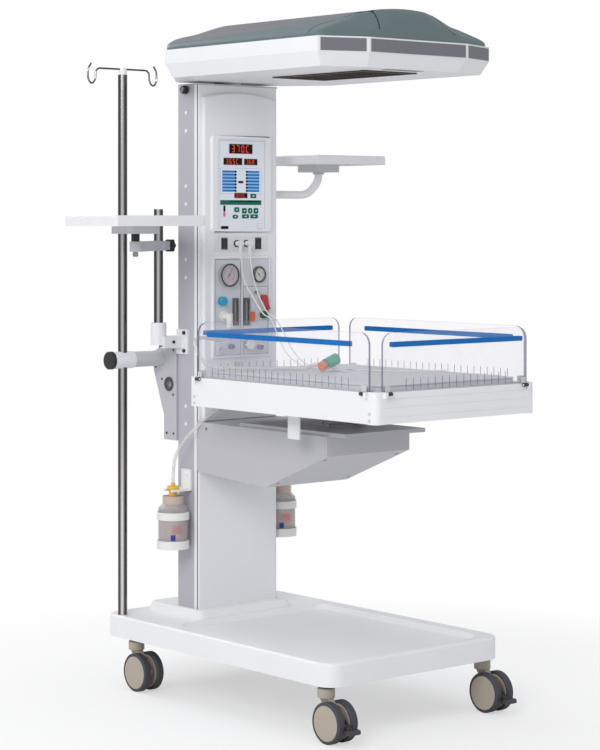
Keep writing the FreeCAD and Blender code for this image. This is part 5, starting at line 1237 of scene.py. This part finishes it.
HOSE_END = (-72.0, -425.0, 870.3)
CONNECTOR_RISE = math.radians(20.0)
TIP_BASE = 856.3
TIP_PROFILE = ((0, 5.4), (0.5, 6.0), (2.4, 6.0), (3.2, 5.0), (3.6, 3.4))


def cord_curve(name, route, diameter, finish):
    data = curve(name, "NURBS", route, diameter, finish, 4)
    data.resolution_u = 10
    data.use_fill_caps = True
    line = data.splines[0]
    line.order_u = 3
    line.use_endpoint_u = True
    return place_piece(name, data, "stand")


class WARMER_OT_cords(bpy.types.Operator):
    """Makes the hoses, the probe leads with their tips, and finishes the patient connector"""
    bl_idname = "warmer.cords"
    bl_label = "Hoses and leads"

    def execute(self, context):
        hose = cord_curve("suction_hose_line", SUCTION_HOSE, 0.009, "hose_clear")
        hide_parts("suction_hose")
        hose = cord_curve("oxygen_hose_line", OXYGEN_HOSE, 0.010, "hose_clear")
        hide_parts("oxygen_hose")
        for name, route, run in (("skin", SKIN_LEAD, 0.589), ("air", AIR_LEAD, 0.809)):
            x, y = route[-1][0] / MM, route[-1][1] / MM
            tip = Shape("probe_tip_" + name, "stand")
            tip.turned((x, y, TIP_BASE), (0, 0, 1), TIP_PROFILE, "lead_white", 24)
            tip = tip.done()
            lead = cord_curve(name + "_lead_line", route, 0.003, "lead_white")
            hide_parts("probe_lead_" + name)
        start = Vector(HOSE_END)
        along = Vector((math.cos(CONNECTOR_RISE), 0.0, math.sin(CONNECTOR_RISE)))

        def in_branch(p):
            return (p - start).dot(along) < 18.0 or abs(p.y - start.y) < 7.2 and p.z < 872.0
        paint("patient_connector", "teal_plastic",
              ("cap_orange", lambda p, n: (p - start).dot(along) < 10.05),
              ("clear_plastic", lambda p, n: in_branch(p)))
        return {"FINISHED"}


POST = (-203.0, 85.0)
POST_BRACKET_TOP = 968.1
LEFT_STUB_FOOT = 1186.4
LEFT_STUB_TOP = 1206.0
LEFT_PLATE_TOP = 1225.9
RIGHT_PLATE_TOP = 1394.9
STAR_AXLE = (85.0, 1173.0)
POLE = (-270.0, 155.0)
HANDLE_CAP = -304.95
HANDLE_SLEEVE = -238.95
HANDLE_END = -113.0


class WARMER_OT_shelves(bpy.types.Operator):
    """Finishes the shelves, their arms and the left post"""
    bl_idname = "warmer.shelves"
    bl_label = "Shelves"

    def execute(self, context):
        paint("left_shelf_top", "shelf_white",
              ("bright_steel", below(LEFT_STUB_FOOT)),
              ("black_plastic", below(LEFT_STUB_TOP)),
              ("light_grey_plastic", below(LEFT_PLATE_TOP)))
        paint("right_shelf_top", "shelf_white", ("light_grey_plastic", below(RIGHT_PLATE_TOP)))
        paint("right_shelf_arm", "rail_white")
        paint("left_shelf_arm", "arm_grey")
        paint("star_knob", "black_plastic", ("bright_steel", around_x(*STAR_AXLE, 4.2)))
        # the post's tube carries the painted reflection streaks
        paint("left_post", "shelf_white",
              ("tube_steel", lambda p, n: p.z > POST_BRACKET_TOP or math.dist(p.xy, POST) < 12.6))
        return {"FINISHED"}


class WARMER_OT_pole(bpy.types.Operator):
    """Finishes the infusion pole, its hooks and the push handle"""
    bl_idname = "warmer.pole"
    bl_label = "Pole and handle"

    def execute(self, context):
        # pole and hooks carry the painted reflection streaks
        paint("infusion_pole", "tube_steel")
        paint("infusion_hooks", "tube_steel", ("shelf_white", lambda p, n: math.dist(p.xy, POLE) < 11.3))
        paint("push_handle", "dark_grey_plastic",
              ("black_plastic", left_of(HANDLE_CAP)),
              ("shelf_white", left_of(HANDLE_SLEEVE)),
              ("arm_grey", left_of(HANDLE_END)))
        return {"FINISHED"}


# Suction bottles: their axes stand at plus and minus BOTTLE_X, and heights count from BOTTLE_Z

BOTTLE_X = 186.0
BOTTLE_Y = 43.0
BOTTLE_Z = 371.0
BOTTLE_FRONT = 233.0
JAR_REACH = 39.8
PRINT_REACH = (39.75, 39.95)
BRACKET_END = 147.0
LID_FOOT = 119.3
CAP_FOOT = 139.3
FOOT_RING_TOP = 22.05
UPPER_RING = (76.9, 97.1)


class WARMER_OT_bottles(bpy.types.Operator):
    """Finishes the suction bottles and adds their graduations"""
    bl_idname = "warmer.bottles"
    bl_label = "Suction bottles"

    def execute(self, context):
        def up(p):
            return p.z - BOTTLE_Z

        def reach(p):
            return math.hypot(abs(p.x) - BOTTLE_X, p.y - BOTTLE_Y)

        def on_bracket(p):
            return abs(p.x) < BRACKET_END or (150.5 < up(p) < 157.1 and reach(p) > 12.4)
        paint("suction_bottles", "jar_plastic",
              ("rail_white", lambda p, n: on_bracket(p)),
              ("cap_yellow", lambda p, n: up(p) > CAP_FOOT),
              ("cap_tan", lambda p, n: up(p) > LID_FOOT and reach(p) > 25.2),
              ("knob_white", lambda p, n: up(p) < FOOT_RING_TOP and reach(p) > JAR_REACH),
              ("knob_white", lambda p, n: UPPER_RING[0] < up(p) < UPPER_RING[1] and reach(p) > JAR_REACH))
        marks = Shape("bottle_marks", "stand")
        for x in (-BOTTLE_X, BOTTLE_X):
            for k in range(9):
                self.mark(marks, x, 30.0 + k * 4.6, BOTTLE_FRONT, 88.0, 0.7, "jar_red")
            for k in range(4):
                self.mark(marks, x, 44.0 + k * 5.6, BOTTLE_FRONT + 17.0, 40.0, 2.6, "jar_red")
            self.mark(marks, x, 32.0, BOTTLE_FRONT, 18.0, 15.0, "jar_blue")
        marks.done()
        return {"FINISHED"}

    def mark(self, shape, x, height, heading, wide, tall, finish):
        """A printed patch that follows the bottle's round side."""
        under, over = PRINT_REACH
        corners = ((under, -0.5), (over, -0.5), (over, 0.5), (under, 0.5))
        rings = []
        for k in range(5):
            a = math.radians(heading + wide * (k / 4.0 - 0.5))
            rings.append([(x + r * math.cos(a), BOTTLE_Y + r * math.sin(a), BOTTLE_Z + height + dz * tall)
                          for r, dz in corners])
        shape.skin(rings, finish)


# Stage: places and sizes in metres, power in watts

LAMPS = (("key", (-4.1, -2.3, 3.2), (0.0, -0.3, 0.9), 2.2, 108.0),
         ("fill", (3.4, -2.6, 2.4), (0.0, -0.3, 0.9), 2.6, 10.0),
         ("back", (-0.6, 3.0, 3.4), (0.0, 0.0, 1.2), 2.0, 50.0))
AMBIENT_COLOUR = (0.95, 0.97, 1.0, 1.0)
AMBIENT = 0.62
FLOOR_HALF = 14.0
CAMERA_PLACE = (-3.6966, -4.6311, 1.24385)
CAMERA_TURN = -40.21
CAMERA_LENS = 105.6
CAMERA_SHIFT = -0.208


class WARMER_OT_stage(bpy.types.Operator):
    """Sets the floor, the backdrop, the lamps and the camera"""
    bl_idname = "warmer.stage"
    bl_label = "Stage"

    def execute(self, context):
        scene = context.scene
        scene.view_settings.view_transform = "Standard"
        self.floor()
        self.backdrop(scene)
        for name, place, aim, size, power in LAMPS:
            lamp = bpy.data.lights.new(name, "AREA")
            lamp.shape = "SQUARE"
            lamp.size = size
            lamp.energy = power
            turn = (Vector(aim) - Vector(place)).to_track_quat("-Z", "Y").to_euler()
            self.hold(name, lamp, place, turn)
        camera = bpy.data.cameras.new("photo_camera")
        camera.lens = CAMERA_LENS
        camera.sensor_width = 36.0
        camera.shift_y = CAMERA_SHIFT
        camera.clip_end = 60.0
        turn = (math.radians(90.0), 0.0, math.radians(CAMERA_TURN))
        scene.camera = self.hold("photo_camera", camera, CAMERA_PLACE, turn)
        return {"FINISHED"}

    def hold(self, name, data, place, turn):
        holder = place_piece(name, data, None)
        holder.location = place
        holder.rotation_euler = turn
        return holder

    def floor(self):
        mesh = bmesh.new()
        bmesh.ops.create_grid(mesh, x_segments=4, y_segments=4, size=FLOOR_HALF)
        data = bpy.data.meshes.new("stage_floor")
        mesh.to_mesh(data)
        mesh.free()
        data.materials.append(self.paper())
        place_piece("stage_floor", data, None)

    def backdrop(self, scene):
        """A white backdrop for the camera, and a plain soft light for the object."""
        world = bpy.data.worlds.new("studio")
        scene.world = world
        world.use_nodes = True
        sky = Nodes(world.node_tree)
        ambient = sky.node("ShaderNodeBackground", None, {"Color": AMBIENT_COLOUR, "Strength": AMBIENT})
        white = sky.node("ShaderNodeBackground", None, {"Color": WHITE, "Strength": 1.0})
        mixed = sky.node("ShaderNodeMixShader", None, {0: sky.seen(), 1: ambient, 2: white})
        sky.set(sky.tree.nodes["World Output"], "Surface", mixed)

    def paper(self):
        """Pale paper that keeps the shadow near the warmer and runs into white further out."""
        f = Finish("stage_paper", (0.90, 0.90, 0.90), 0.9)
        f.vary(0.004, 2.0)
        white = f.node("ShaderNodeEmission", None, {"Color": WHITE, "Strength": 1.0})
        x, y = f.part(f.place(), "X"), f.part(f.place(), "Y") + 0.25
        share = f.clamped((x * x + y * y) * 0.45 - 0.05) * 0.5 + 0.5
        mixed = f.node("ShaderNodeMixShader", None,
                       {0: f.seen() * share, 1: Signal(f, f.shader.outputs[0]), 2: white})
        f.set(f.tree.nodes["Material Output"], "Surface", mixed)
        return f.material


STEPS = (WARMER_OT_finishes, WARMER_OT_base, WARMER_OT_column, WARMER_OT_control_panel,
         WARMER_OT_gas_panel, WARMER_OT_hood, WARMER_OT_bed, WARMER_OT_mattress, WARMER_OT_cords,
         WARMER_OT_shelves, WARMER_OT_pole, WARMER_OT_bottles, WARMER_OT_stage)


class WARMER_PT_panel(bpy.types.Panel):
    """Lists the steps that dress the warmer"""
    bl_idname = "WARMER_PT_panel"
    bl_label = "Infant warmer"
    bl_space_type = "VIEW_3D"
    bl_region_type = "UI"
    bl_category = "Warmer"

    def draw(self, context):
        for group in (context.scene.warmer_tones, context.scene.warmer_sizes):
            for name in group.__annotations__:
                self.layout.prop(group, name)
        for step in STEPS:
            self.layout.operator(step.bl_idname)


CLASSES = (WarmerTones, WarmerSizes, WARMER_PT_panel) + STEPS


def register():
    for each in CLASSES:
        bpy.utils.register_class(each)
    bpy.types.Scene.warmer_tones = PointerProperty(type=WarmerTones)
    bpy.types.Scene.warmer_sizes = PointerProperty(type=WarmerSizes)


def unregister():
    del bpy.types.Scene.warmer_tones
    del bpy.types.Scene.warmer_sizes
    for each in reversed(CLASSES):
        bpy.utils.unregister_class(each)


def main():
    register()
    for step in STEPS:
        category, name = step.bl_idname.split(".")
        getattr(getattr(bpy.ops, category), name)()


if __name__ == "__main__":
    main()
